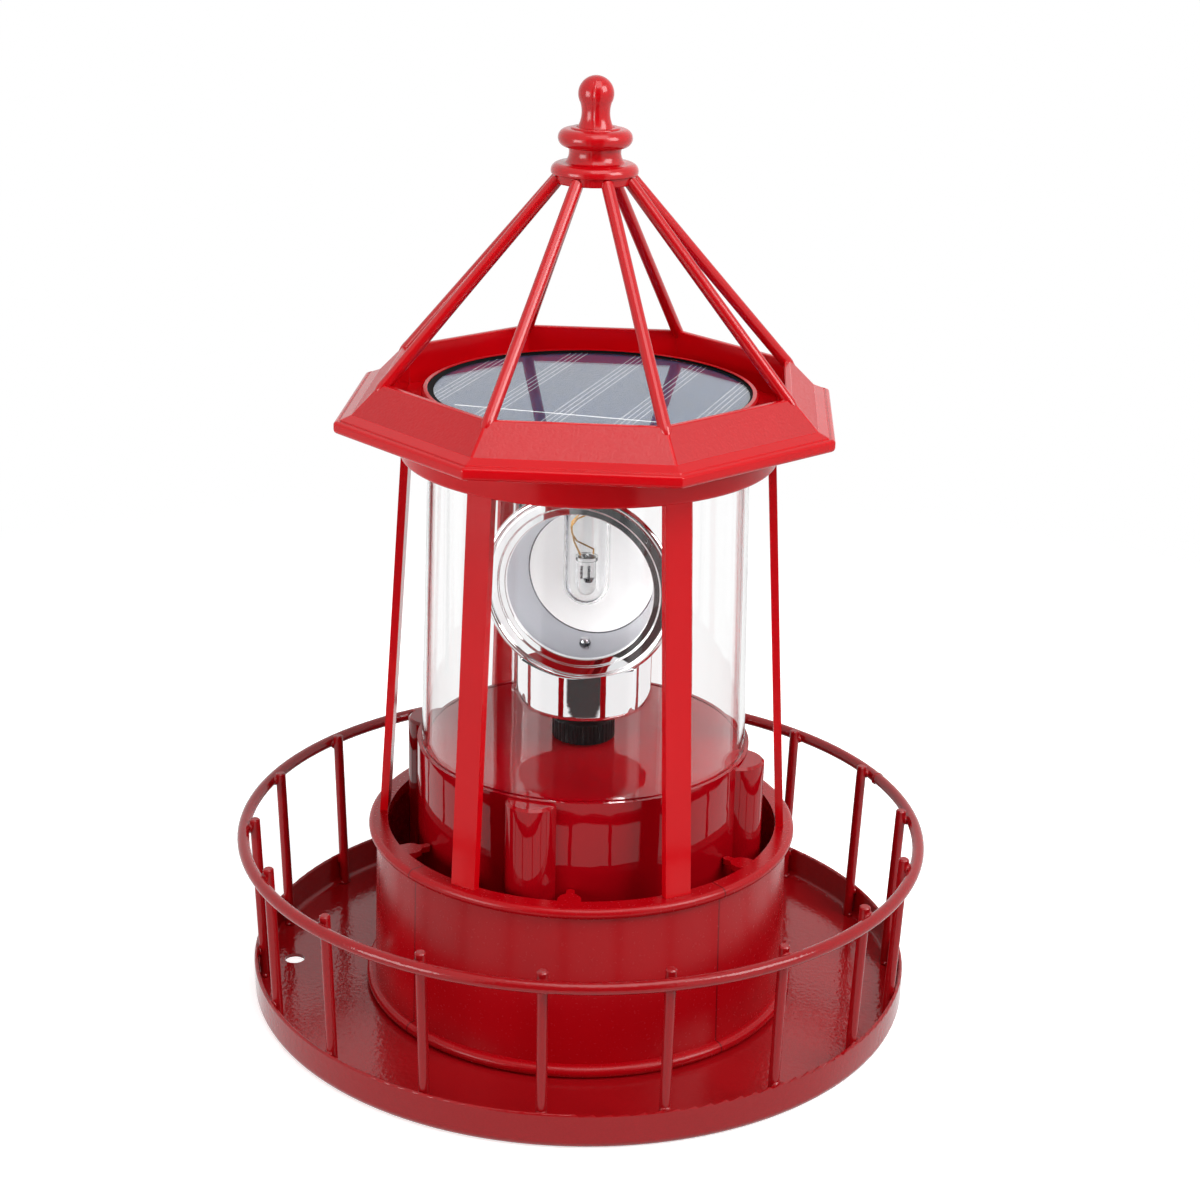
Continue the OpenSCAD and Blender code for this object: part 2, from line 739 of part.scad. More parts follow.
module led() {
    lens_r = led_d / 2;
    color([0.9, 0.92, 0.95, 0.6]) {
        translate([0, 0, led_z - led_len + lens_r]) cylinder(r = lens_r, h = led_len - lens_r);
        translate([0, 0, led_z - led_len + lens_r]) sphere(r = lens_r);
        translate([0, 0, led_z - led_flange_t]) cylinder(r = lens_r + 0.6, h = led_flange_t);
    }
}

// Two bare leads that cross above the diode on their way up to the socket.
module led_leads() {
    top = housing_low - led_z + cut;
    color("goldenrod") translate([0, 0, led_z]) {
        wire([[2, 0.6, 0.3], [2.1, 0.6, 2], [-3.2, 0.7, 4.5], [-4.9, 0.8, 7],
            [-4.9, 0.8, 10.6], [-1.4, 0.8, 14.6], [-1.3, 0.8, top]], led_lead_r);
        wire([[-2, -0.6, 0.3], [-4, -0.7, 4.8], [-5, -0.8, 9.6], [-3, -0.8, 12.3],
            [1.4, -0.8, 14.3], [1.5, -0.8, top]], led_lead_r);
    }
}

// ---- lamp base ----

module screw_tower() {
    translate([0, 0, floor_z + seat_gap]) cylinder(r = tower_r, h = tower_top - tower_edge - floor_z - seat_gap);
    translate([0, 0, tower_top - tower_edge])
        cylinder(r1 = tower_r, r2 = tower_r - tower_edge, h = tower_edge);
}

// Hollow inside of the lamp base, less its towers, pillars and bosses.
module base_hollow() {
    difference() {
        translate([0, 0, -cut]) cylinder(r = base_r - base_wall, h = deck_low + cut);
        around(tower_count, tower_yaw, tower_pcr) cylinder(r = tower_core_r, h = deck_z);
        translate([0, 0, bush_low]) cylinder(r = bush_boss_r, h = deck_low - bush_low + cut);
        around(pillar_count, pillar_yaw, pillar_pcr, plate_top + seat_gap)
            cylinder(r = pillar_r, h = deck_low - plate_top);
        around(cover_boss_count, cover_boss_yaw, cover_boss_pcr, cover_top + seat_gap)
            cylinder(r = cover_boss_r, h = cover_boss_h);
        place(drive_yaw, centre_dist, deck_low - pin_socket_h)
            cylinder(r = pillar_r, h = pin_socket_h + cut);
    }
}

module lamp_base() {
    color("crimson") difference() {
        union() {
            translate([0, 0, floor_z + seat_gap]) cylinder(r = base_r, h = deck_z - floor_z - seat_gap);
            around(tower_count, tower_yaw, tower_pcr) screw_tower();
        }
        base_hollow();
        around(tower_count, tower_yaw, tower_pcr) {
            cylinder(r = dimple_r + weld_gap, h = dimple_top + seat_gap);
            cylinder(r = pilot_r, h = dimple_top + tower_screw_l);
        }
        around(pillar_count, pillar_yaw, pillar_pcr, plate_top) cylinder(r = small_screw_r, h = pilot_depth);
        around(cover_boss_count, cover_boss_yaw, cover_boss_pcr, cover_top)
            cylinder(r = small_screw_r, h = pilot_depth);
        band(groove_in_r, clear_foot_r + weld_gap, deck_z - groove_depth, deck_z + cut);
        translate([0, 0, bush_low - cut]) cylinder(r = bush_r + seat_gap, h = deck_z);
        place(drive_yaw, centre_dist, deck_low - pin_socket_h - cut)
            cylinder(r = idler_pin_r + seat_gap, h = pin_socket_h + cut);
        place(lead_a, lead_pcr, deck_low - cut) cylinder(r = lead_r + slot_gap, h = deck_t + 2 * cut);
    }
}

// Upright wall at one end of the battery.
module cradle_wall(side) {
    translate([side * (cradle_l + cradle_t) / 2 - cradle_t / 2, battery_y - battery_r, cover_low])
        cube([cradle_t, battery_d, cover_t + cradle_h]);
}

module board_post(side) {
    translate([side * pcb_l * 0.4 - board_post_w / 2, pcb_y - board_post_w / 2, cover_low])
        cube([board_post_w, board_post_w, pcb_z - cover_low - seat_gap]);
}

// Block with the outline of the battery door, made larger by grow on every side.
module door_block(low, height, grow) {
    translate([-door_l / 2 - grow, battery_y - door_w / 2 - grow, low])
        cube([door_l + 2 * grow, door_w + 2 * grow, height]);
}

module base_cover() {
    color("crimson") difference() {
        union() {
            translate([0, 0, cover_low]) cylinder(r = plate_in_r, h = cover_t);
            for (side = [-1, 1]) cradle_wall(side);
            for (side = [-1, 1]) board_post(side);
        }
        around(tower_count, tower_yaw, tower_pcr) cylinder(r = tower_core_r + spin_gap, h = cover_top + cut);
        around(cover_boss_count, cover_boss_yaw, cover_boss_pcr) {
            cylinder(r = small_screw_r + slot_gap, h = cover_top + cut);
            cylinder(r = small_head_r + slot_gap, h = cover_low + small_head_h);
        }
        door_block(0, cover_top + cut, 0);
        door_block(0, cover_low + cover_t / 2, door_ledge);
        translate([0, switch_y, 0]) cylinder(r = button_r + slot_gap, h = cover_top + cut);
    }
}

module battery_door() {
    color("crimson") {
        door_block(cover_low, cover_t / 2 - seat_gap, door_ledge - slot_gap);
        door_block(cover_low, cover_t, -slot_gap);
    }
}

module cover_screws() {
    color("silver") around(cover_boss_count, cover_boss_yaw, cover_boss_pcr, cover_low - seat_gap)
        screw_up(small_head_r, small_head_h, small_screw_r - thread_gap, small_screw_l);
}

module battery() {
    start = -(battery_l + nub_l) / 2;
    color("darkgreen") translate([start, battery_y, battery_z]) rotate([0, 90, 0]) {
        cylinder(r = battery_r, h = battery_l);
        cylinder(r = nub_r, h = battery_l + nub_l);
    }
}

module battery_contacts() {
    x = (cradle_l - contact_t) / 2 - seat_gap;
    color("silver") for (side = [-1, 1])
        translate([side * x - contact_t / 2, battery_y - contact_w / 2, battery_z - contact_w / 2])
            cube([contact_t, contact_w, contact_w]);
}

module circuit_board() {
    color("seagreen") translate([0, pcb_y, pcb_z]) {
        translate([-pcb_l / 2, -pcb_w / 2, 0]) cube([pcb_l, pcb_w, pcb_t]);
        translate([pcb_l * 0.25, pcb_w * 0.2, pcb_t]) cylinder(r = capacitor_r, h = capacitor_h);
        translate([0, -pcb_w * 0.35, pcb_t]) cube([chip_w, chip_w, pcb_t]);
    }
}

module switch_body() {
    w = switch_body_w;
    color("dimgray") translate([0, switch_y, cover_top + seat_gap]) difference() {
        translate([-w / 2, -w / 2, 0]) cube([w, w, switch_body_h - 2 * seat_gap]);
        translate([0, 0, -cut]) cylinder(r = button_collar_r + slot_gap, h = cut + switch_pocket_h);
        cylinder(r = button_stem_r + run_gap, h = switch_body_h - cut);
    }
}

// The collar on the button rests on the cover round its hole, so the button can't fall out.
module switch_button() {
    stem_h = switch_body_h - cut - switch_travel - spin_gap;
    color("black") translate([0, switch_y, cover_top + seat_gap]) {
        translate([0, 0, -cover_t - button_out]) cylinder(r = button_r, h = cover_t + button_out);
        cylinder(r = button_collar_r, h = button_collar_t);
        cylinder(r = button_stem_r, h = stem_h);
    }
}

// ---- drive ----

function involute(c) = tan(acos(c)) * 180 / PI - acos(c);
function pitch_half(teeth) = 90 / teeth - backlash_deg * wheel_teeth / teeth / 2;
function half_tooth(r, teeth) = let (rb = gear_m * teeth / 2 * cos(gear_angle))
    pitch_half(teeth) + involute(cos(gear_angle)) - involute(min(1, rb / r));
function polar(r, a) = [r * cos(a), r * sin(a)];

// Spur gear outline: each tooth has its two involute flanks, a tip and a root.
module gear_outline(teeth) {
    rp = gear_m * teeth / 2;
    rb = rp * cos(gear_angle);
    ra = rp + gear_m * addendum;
    rf = rp - gear_m * dedendum;
    flank = [max(rf, rb), rp, (rp + ra) / 2, ra];
    polygon([for (i = [0 : teeth - 1]) let (mid = i * 360 / teeth) each concat(
        [polar(rf, mid - half_tooth(flank[0], teeth))],
        [for (r = flank) polar(r, mid - half_tooth(r, teeth))],
        [for (k = [3 : -1 : 0]) polar(flank[k], mid + half_tooth(flank[k], teeth))],
        [polar(rf, mid + half_tooth(flank[0], teeth))])]);
}

module gear(teeth, width, bore_r) {
    linear_extrude(height = width) difference() {
        gear_outline(teeth);
        circle(r = bore_r);
    }
}

// Turns a gear by half a tooth, so that a space faces where a tooth was.
module half_step(teeth) {
    rotate([0, 0, 180 / teeth]) children();
}

// Metal plate under the gears: carries the motor, the idler's pin and the shaft's lower end.
module gear_plate() {
    through = plate_t + 2 * cut;
    color("gainsboro") difference() {
        translate([0, 0, plate_low]) cylinder(r = plate_r, h = plate_t);
        translate([0, 0, plate_low - cut]) {
            cylinder(r = shaft_d / 2 + run_gap, h = through);
            around(pillar_count, pillar_yaw, pillar_pcr)
                cylinder(r = small_screw_r + slot_gap, h = through);
            place(drive_yaw, centre_dist) cylinder(r = idler_pin_r + thread_gap, h = through);
            place(drive_yaw, motor_out_r) cylinder(r = motor_boss_r + weld_gap, h = through);
            place(lead_a, lead_pcr) cylinder(r = lead_r + lead_notch, h = through);
        }
    }
}

module plate_screws() {
    color("silver") around(pillar_count, pillar_yaw, pillar_pcr, plate_low - small_head_h - seat_gap)
        screw_up(small_head_r, small_head_h, small_screw_r - thread_gap, plate_t + small_screw_l);
}

module gear_motor() {
    color("silver") place(drive_yaw, motor_out_r, plate_low - seat_gap - motor_h) difference() {
        union() {
            cylinder(r = motor_r, h = motor_h);
            cylinder(r = motor_boss_r, h = motor_h + motor_boss_h);
        }
        translate([0, 0, motor_h - motor_bore_h]) cylinder(r = motor_shaft_r + run_gap, h = 2 * motor_bore_h);
    }
}

// The pinion and the motor's own shaft, which ends inside the motor.
module motor_pinion() {
    low = plate_low - motor_bore_h + spin_gap;
    color("gold") place(drive_yaw, motor_out_r) {
        translate([0, 0, low]) cylinder(r = motor_shaft_r, h = idler_low + gear_w - low);
        translate([0, 0, idler_low]) rotate([0, 0, -drive_yaw]) half_step(pinion_teeth)
            gear(pinion_teeth, gear_w, motor_shaft_r / 2);
    }
}

module idler_pin() {
    color("silver") place(drive_yaw, centre_dist, plate_low)
        cylinder(r = idler_pin_r, h = deck_low - spin_gap - plate_low);
}

// Large gear driven by the motor, with the small gear on top that drives the output gear.
module idler_gear() {
    sleeve_low = plate_top + slot_gap;
    color("ivory") place(drive_yaw, centre_dist) rotate([0, 0, -drive_yaw]) {
        translate([0, 0, idler_low]) gear(wheel_teeth, gear_w, idler_pin_r + run_gap);
        translate([0, 0, idler_low + gear_w]) half_step(pinion_teeth)
            gear(pinion_teeth, gear_w + stage_gap, idler_pin_r + run_gap);
        band(idler_pin_r + run_gap, idler_pin_r + sleeve_wall, sleeve_low, idler_low + cut);
    }
}

module output_gear() {
    color("ivory") {
        translate([0, 0, output_low]) gear(wheel_teeth, gear_w, shaft_d / 2);
        band(shaft_d / 2, shaft_d / 2 + sleeve_wall, output_low + cut, bush_low - slot_gap);
    }
}

module output_shaft() {
    color("silver") translate([0, 0, plate_low]) cylinder(r = shaft_d / 2, h = shaft_top - plate_low);
}

module shaft_bush() {
    color("goldenrod") difference() {
        union() {
            translate([0, 0, bush_low]) cylinder(r = bush_r, h = deck_z + bush_flange_t - bush_low);
            translate([0, 0, deck_z + seat_gap]) cylinder(r = bush_flange_r, h = bush_flange_t - seat_gap);
        }
        translate([0, 0, bush_low - cut]) cylinder(r = shaft_d / 2 + run_gap, h = deck_z);
    }
}

// Hub pressed on the shaft, with two pegs that carry the collar round.
module drive_hub() {
    color([0.08, 0.08, 0.09]) translate([0, 0, hub_low]) {
        difference() {
            cylinder(r = hub_r, h = collar_z - hub_low - seat_gap);
            translate([0, 0, -cut]) cylinder(r = shaft_d / 2, h = shaft_top - hub_low + cut);
            around(6, dish_yaw + 19, hub_r + hub_groove_r * 0.4) cylinder(r = hub_groove_r, h = deck_z);
        }
        around(2, dish_yaw + 90, peg_pcr)
            cylinder(r = peg_r, h = collar_z - hub_low + collar_wall - slot_gap);
    }
}

// ---- reflector ----

// Turns a shape about its own axis and lays that axis level, facing the rest direction.
module along_dish() {
    translate([0, 0, dish_z]) rotate([0, 0, dish_yaw]) rotate([90, 0, 0]) children();
}

// Section of the reflector: u runs forwards along its axis and grow moves it outwards.
module dish_wall_profile(grow) {
    polygon([[0, throat_back_u], [throat_back_r + grow, throat_back_u], [throat_r + grow, 0],
        [throat_front_r + grow, throat_front_u], [throat_front_r + grow, dish_front], [0, dish_front]]);
    intersection() {
        translate([0, bowl_u]) circle(r = bowl_r + grow);
        translate([0, throat_back_u - bowl_r * 2]) square([bowl_r * 2, bowl_r * 2]);
    }
}

module dish_profile() {
    difference() {
        dish_wall_profile(dish_wall);
        dish_wall_profile(0);
        translate([0, throat_front_u + 0.01]) square([dish_r + 5, 20]);
    }
    translate([throat_front_r, throat_front_u - dish_wall * 0.4])
        square([flange_step_r - throat_front_r, dish_wall]);
    translate([flange_step_r - 0.6, throat_front_u])
        square([dish_r - hem_r - flange_step_r + 0.6, dish_wall]);
    translate([dish_r - hem_r, dish_front - hem_r]) circle(r = hem_r);
}

module reflector_dish() {
    color("gainsboro") difference() {
        along_dish() rotate_extrude() dish_profile();
        translate([0, 0, dish_z]) cylinder(r = tube_hole_r, h = dish_r);
        translate([0, 0, dish_z - throat_r - 5]) cylinder(r = small_screw_r + slot_gap, h = 6);
    }
}

module collar_profile() {
    f = collar_fillet;
    translate([0, collar_z]) {
        square([collar_r - f, collar_wall]);
        translate([collar_r - collar_wall, f]) square([collar_wall, collar_top - collar_z - f]);
        translate([0, collar_top - collar_z - collar_wall]) square([collar_r, collar_wall]);
        translate([collar_r - f, f]) intersection() {
            difference() {
                circle(r = f);
                circle(r = f - collar_wall);
            }
            translate([0, -f]) square(f);
        }
    }
}

// Cup under the reflector, cut round the reflector's throat and flange, with a lower front wall.
module reflector_collar() {
    color("gainsboro") difference() {
        union() {
            rotate_extrude() collar_profile();
            translate([0, 0, collar_z]) cylinder(r = collar_post_r, h = collar_top - collar_z);
        }
        along_dish() {
            rotate_extrude() dish_wall_profile(dish_wall + weld_gap);
            translate([0, 0, flange_back_u - weld_gap])
                cylinder(r = dish_r + weld_gap, h = dish_front - flange_back_u + 2 * weld_gap);
            translate([0, 0, dish_front]) cylinder(r = collar_mouth_r, h = dish_r);
        }
        translate([0, 0, collar_z + collar_wall]) cylinder(r = small_screw_r, h = collar_top - collar_z);
        around(2, dish_yaw + 90, peg_pcr, collar_z - cut)
            cylinder(r = peg_r + thread_gap, h = collar_wall + 2 * cut);
    }
}

module reflector_screw() {
    head_z = dish_z - throat_r + slot_gap;
    color("silver") {
        translate([0, 0, head_z - reflector_screw_l])
            cylinder(r = small_screw_r - thread_gap, h = reflector_screw_l);
        translate([0, 0, head_z]) intersection() {
            sphere(r = small_head_r);
            cylinder(r = small_head_r, h = small_head_h);
        }
    }
}

tray_pan();
tray_screws();
railing_ring();
for (i = [1 : post_count]) railing_post(i);
lower_drum();
drum_screws();
cage_frame();
roof_frame();
panel_housing();
solar_board();
solar_resin();
clear_cylinder();
lead_tube();
solar_lead();
led_tube();
led();
led_leads();
lamp_base();
base_cover();
cover_screws();
battery();
battery_contacts();
battery_door();
circuit_board();
switch_body();
switch_button();
gear_plate();
plate_screws();
gear_motor();
motor_pinion();
idler_pin();
idler_gear();
output_gear();
output_shaft();
shaft_bush();
drive_hub();
reflector_collar();
reflector_dish();
reflector_screw();
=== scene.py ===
import json
import math
import random

import bmesh
import bpy
from mathutils import Matrix, Vector, noise


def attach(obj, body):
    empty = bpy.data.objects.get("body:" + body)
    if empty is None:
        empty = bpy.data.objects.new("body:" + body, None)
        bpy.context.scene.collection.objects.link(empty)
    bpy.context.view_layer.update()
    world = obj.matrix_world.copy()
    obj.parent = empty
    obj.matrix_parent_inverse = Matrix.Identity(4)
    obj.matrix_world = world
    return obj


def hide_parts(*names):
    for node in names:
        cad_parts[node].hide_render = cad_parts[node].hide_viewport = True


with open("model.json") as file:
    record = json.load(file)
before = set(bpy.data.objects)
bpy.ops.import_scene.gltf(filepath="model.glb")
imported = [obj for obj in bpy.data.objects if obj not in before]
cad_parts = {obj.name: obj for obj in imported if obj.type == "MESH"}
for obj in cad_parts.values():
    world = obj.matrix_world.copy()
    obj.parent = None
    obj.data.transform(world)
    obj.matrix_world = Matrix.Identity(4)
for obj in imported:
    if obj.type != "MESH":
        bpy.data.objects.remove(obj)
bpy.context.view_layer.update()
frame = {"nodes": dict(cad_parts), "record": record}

nodes = frame["nodes"]
mm = 0.001
random.seed(7)

sharpAngle = 32  # degrees past which an edge of a new piece stays sharp

# in millimetres and degrees, as the circles in the photograph gave them
camera = {
    "sensor": 36,
    "lens": 69.27,
    "place": (0, -682.5, 375.1),
    "pitch": 19.64,
    "roll": 1.29,
    "yaw": 0.37,
    "nearest": 10,
}
# in metres and watts, but for the diode, which is in millimetres and watts
studio = {
    "floor": "#f4f4f4",  # the paper as the eye sees it
    "bounce": "#cccccc",  # and as it throws light back up
    "floorSize": 3,
    "lift": 0.62,  # how much the paper is lifted for the eye
    "fade": (0.25, 0.55),  # its shadows fade to plain white this far out
    "worldLight": 0.15,
    "key": {"place": (1.15, -0.6, 1.0), "size": 0.8, "power": 17},
    "fill": {"place": (-1.0, -0.7, 0.25), "size": 0.6, "power": 8},
    "top": {"place": (0.2, -0.5, 1.4), "size": 1.0, "power": 9},
    "front": {"place": (0.15, -1.0, 1.1), "size": 0.7, "power": 2.5},
    "back": {"place": (0.3, 1.4, 0.35), "size": 0.8, "power": 9},
    "diode": {"place": (0, -4, 133), "size": 4, "power": 0.008},
    "aim": (0, 0, 0.13),
    "mirrorWhite": 1.0,  # the tent and the dark room, as mirrors and clear pieces see them
    "mirrorDark": 0.05,
    "horizon": (0.05, 0.2),  # the dark begins this far forward in the world
    "edge": (0.238, 0.252),  # and this far forward on the table
    "sides": (0.5, 0.6),  # it ends this far aside, as a share of the way forward
    "above": (0.5, 0.75),  # and this far up
}


def linear(hexColour):  # sRGB hex to the linear colour the shaders take
    parts = [int(hexColour[i : i + 2], 16) / 255 for i in (1, 3, 5)]
    return [c / 12.92 if c <= 0.04045 else ((c + 0.055) / 1.055) ** 2.4 for c in parts] + [1.0]


def addNode(tree, kind, settings=None, links=None):
    # a setting is the node's own or the value of a socket, and a link goes into a socket
    node = tree.nodes.new(kind)
    for name, value in (settings or {}).items():
        if isinstance(name, str) and hasattr(node, name):
            setattr(node, name, value)
        else:
            node.inputs[name].default_value = value
    for name, source in (links or {}).items():
        tree.links.new(source, node.inputs[name])
    return node


def startMaterial(name, settings):
    # a shader joined to the output, and the coordinates that the piece's patterns read
    material = bpy.data.materials.new(name)
    material.use_nodes = True
    tree = material.node_tree
    tree.nodes.clear()
    shader = addNode(tree, "ShaderNodeBsdfPrincipled", settings)
    addNode(tree, "ShaderNodeOutputMaterial", links={"Surface": shader.outputs[0]})
    place = addNode(tree, "ShaderNodeTexCoord").outputs["Object"]
    return material, tree, shader, place


def perMetre(size):  # noise scale for a grain of that many millimetres
    return 1000 / size


def onCircle(angle, r, z):  # 0 is the front, and the angle grows to the right
    a = math.radians(angle)
    return Vector((r * math.sin(a), -r * math.cos(a), z)) * mm


def rounded(points, steps=5):  # a corner given as (r, z, radius) becomes an arc of that radius
    line = []
    for i, point in enumerate(points):
        here = Vector(point[:2])
        if len(point) < 3:
            line.append(here)
            continue
        before = (Vector(points[i - 1][:2]) - here).normalized()
        after = (Vector(points[(i + 1) % len(points)][:2]) - here).normalized()
        half = before.angle(after) / 2
        reach = point[2] / math.tan(half)
        middle = here + (before + after).normalized() * (point[2] / math.sin(half))
        start = (here + before * reach - middle).normalized()
        end = (here + after * reach - middle).normalized()
        line += [middle + start.slerp(end, k / steps) * point[2] for k in range(steps + 1)]
    return line


def arc(middle, radius, start, end, steps):  # from start to end in degrees, 0 being outwards
    turns = [math.radians(start + (end - start) * k / steps) for k in range(steps + 1)]
    return [(middle[0] + radius * math.cos(t), middle[1] + radius * math.sin(t)) for t in turns]


def spinLine(bm, line, steps, closed=False):  # revolves an outline of (r, z) points
    ring = [bm.verts.new((p[0] * mm, 0, p[1] * mm)) for p in line]
    edges = [bm.edges.new(pair) for pair in zip(ring, ring[1:])]
    if closed:
        edges.append(bm.edges.new((ring[-1], ring[0])))
    bmesh.ops.spin(
        bm,
        geom=ring + edges,
        cent=(0, 0, 0),
        axis=(0, 0, 1),
        angle=2 * math.pi,
        steps=steps,
        use_merge=True,
    )
    bmesh.ops.remove_doubles(bm, verts=bm.verts, dist=1e-7)


def addTo(bm, part, matrix):  # puts a finished part into a piece, turned and placed
    bmesh.ops.recalc_face_normals(part, faces=part.faces)
    bmesh.ops.transform(part, matrix=matrix, verts=part.verts)
    mesh = bpy.data.meshes.new("part")
    part.to_mesh(mesh)
    part.free()
    bm.from_mesh(mesh)
    bpy.data.meshes.remove(mesh)


def along(start, end):  # turns a part made up the Z axis so that it runs from start to end
    turn = (end - start).to_track_quat("Z", "Y").to_matrix().to_4x4()
    return Matrix.Translation(start) @ turn


def flatFaces(piece):  # large faces keep their own direction beside a small rounded edge
    weights = piece.modifiers.new("weights", "WEIGHTED_NORMAL")
    weights.mode = "FACE_AREA_WITH_ANGLE"
    weights.keep_sharp = True


def finishPiece(bm, name, body, material, replaced=(), sharp=sharpAngle):
    # makes the bmesh an object that is smooth between sharp edges and rides its body
    bmesh.ops.recalc_face_normals(bm, faces=bm.faces)
    mesh = bpy.data.meshes.new(name)
    bm.to_mesh(mesh)
    bm.free()
    piece = bpy.data.objects.new(name, mesh)
    bpy.context.scene.collection.objects.link(piece)
    mesh.materials.append(material)
    mesh.shade_smooth()
    mesh.set_sharp_from_angle(angle=math.radians(sharp))
    flatFaces(piece)
    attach(piece, body)
    if replaced:
        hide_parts(*replaced)
    return piece


grainSpan = {"From Min": 0.3, "From Max": 0.7}  # where most of a noise's values lie


def seamLines(tree, place, look):  # 1 on the upright parting lines that a mould's slides leave
    parts = addNode(tree, "ShaderNodeSeparateXYZ", {}, {0: place})
    turn = addNode(
        tree,
        "ShaderNodeMath",
        {"operation": "ARCTAN2"},
        {0: parts.outputs["X"], 1: parts.outputs["Y"]},
    )
    shift = addNode(
        tree,
        "ShaderNodeMath",
        {"operation": "ADD", 1: math.radians(look["first"])},
        {0: turn.outputs[0]},
    )
    spot = addNode(
        tree,
        "ShaderNodeMath",
        {"operation": "PINGPONG", 1: math.radians(look["pitch"] / 2)},
        {0: shift.outputs[0]},
    )
    return addNode(
        tree,
        "ShaderNodeMapRange",
        {"From Min": 0.0, "From Max": math.radians(look["width"]), "To Min": 1.0, "To Max": 0.0},
        {"Value": spot.outputs[0]},
    ).outputs[0]


def redPlastic(name, look):
    # injection-moulded ABS, coloured in the mass: a satin to glossy skin with the mould's grain
    # and slow ripples that bend its reflections; the grain is drawn coarser than it is, to show
    material, tree, shader, place = startMaterial(name, {"Specular IOR Level": look["shine"]})
    flow = addNode(
        tree,
        "ShaderNodeTexNoise",
        {"Scale": perMetre(look["flow"]), "Detail": 3.0},
        {"Vector": place},
    )
    tint = addNode(
        tree,
        "ShaderNodeMix",
        {"data_type": "RGBA", 6: linear(look["colour"]), 7: linear(look["shade"])},
        {0: flow.outputs["Fac"]},
    )
    grain = addNode(
        tree,
        "ShaderNodeTexNoise",
        {"Scale": perMetre(look["grain"]), "Detail": 2.0},
        {"Vector": place},
    )
    gloss = addNode(
        tree,
        "ShaderNodeMapRange",
        {**grainSpan, "To Min": look["rough"][0], "To Max": look["rough"][1]},
        {"Value": grain.outputs["Fac"]},
    )
    ripple = addNode(
        tree,
        "ShaderNodeBump",
        {"Distance": look["ripple"] * mm},
        {"Height": flow.outputs["Fac"]},
    )
    skin = addNode(
        tree,
        "ShaderNodeBump",
        {"Distance": look["height"] * mm},
        {"Height": grain.outputs["Fac"], "Normal": ripple.outputs[0]},
    )
    colour = tint.outputs[2]
    # the parting lines are drawn in a dark colour: painted shade for the thin ridge each slide
    # leaves
    if "paintedSeams" in look:
        line = seamLines(tree, place, look["paintedSeams"])
        colour = addNode(
            tree,
            "ShaderNodeMix",
            {"data_type": "RGBA", 7: linear(look["paintedSeams"]["colour"])},
            {0: line, 6: colour},
        ).outputs[2]
    tree.links.new(colour, shader.inputs["Base Color"])
    tree.links.new(gloss.outputs[0], shader.inputs["Roughness"])
    tree.links.new(skin.outputs[0], shader.inputs["Normal"])
    return material


# an even satin gloss, for the cage, the housing and the roof's brim
satinRed = redPlastic(
    "red_abs_satin",
    {
        "colour": "#ca0410",
        "shade": "#be030d",
        "shine": 0.25,
        "flow": 22,
        "grain": 1.6,
        "height": 0.001,
        "ripple": 0.2,
        "rough": (0.16, 0.2),
    },
)
# a smoother, glossier skin with brighter highlights, for the roof's ribs and the finial
glossRed = redPlastic(
    "red_abs_gloss",
    {
        "colour": "#c0040f",
        "shade": "#b4030d",
        "shine": 0.45,
        "flow": 22,
        "grain": 1.6,
        "height": 0.0005,
        "ripple": 0.04,
        "rough": (0.16, 0.19),
    },
)
# a softer gloss for the drum, with a dark line painted where the mould's slides part, a painted
# shade for their thin ridges; its red is darker than the cage's, painted shade for the drum's
# shaded foot
drumRedPaintedShade = redPlastic(
    "red_abs_fine_grain_painted_shade",
    {
        "colour": "#aa030e",
        "shade": "#9e020c",
        "shine": 0.26,
        "flow": 26,
        "grain": 0.9,
        "height": 0.003,
        "ripple": 0.15,
        "rough": (0.22, 0.28),
        "paintedSeams": {"first": -50, "pitch": 90, "width": 0.35, "colour": "#560106"},
    },
)
# from a spark-eroded mould: matt and grained, so the roof's panels scatter their light
grainedRed = redPlastic(
    "red_abs_spark_grain",
    {
        "colour": "#b80610",
        "shade": "#ac040d",
        "shine": 0.5,
        "flow": 18,
        "grain": 0.8,
        "height": 0.1,
        "ripple": 0.05,
        "rough": (0.35, 0.5),
    },
)
# from a polished mould: the lamp base shows sharp reflections with slow ripples; its red is darker
# than the cage's, a painted shade for the deck that the housing and the clear wall shade
polishedRedPaintedShade = redPlastic(
    "red_abs_polished_painted_shade",
    {
        "colour": "#9c030f",
        "shade": "#90020c",
        "shine": 0.32,
        "flow": 30,
        "grain": 1.2,
        "height": 0.001,
        "ripple": 0.35,
        "rough": (0.02, 0.04),
    },
)


coat = {
    "colour": "#9e0c13",
    "shade": "#8c0a10",
    "shine": 0.34,
    "rough": (0.06, 0.1),
    "peel": 1.5,
    "peelHeight": 0.1,
    "dust": 0.6,
    "dustHeight": 0.004,
}


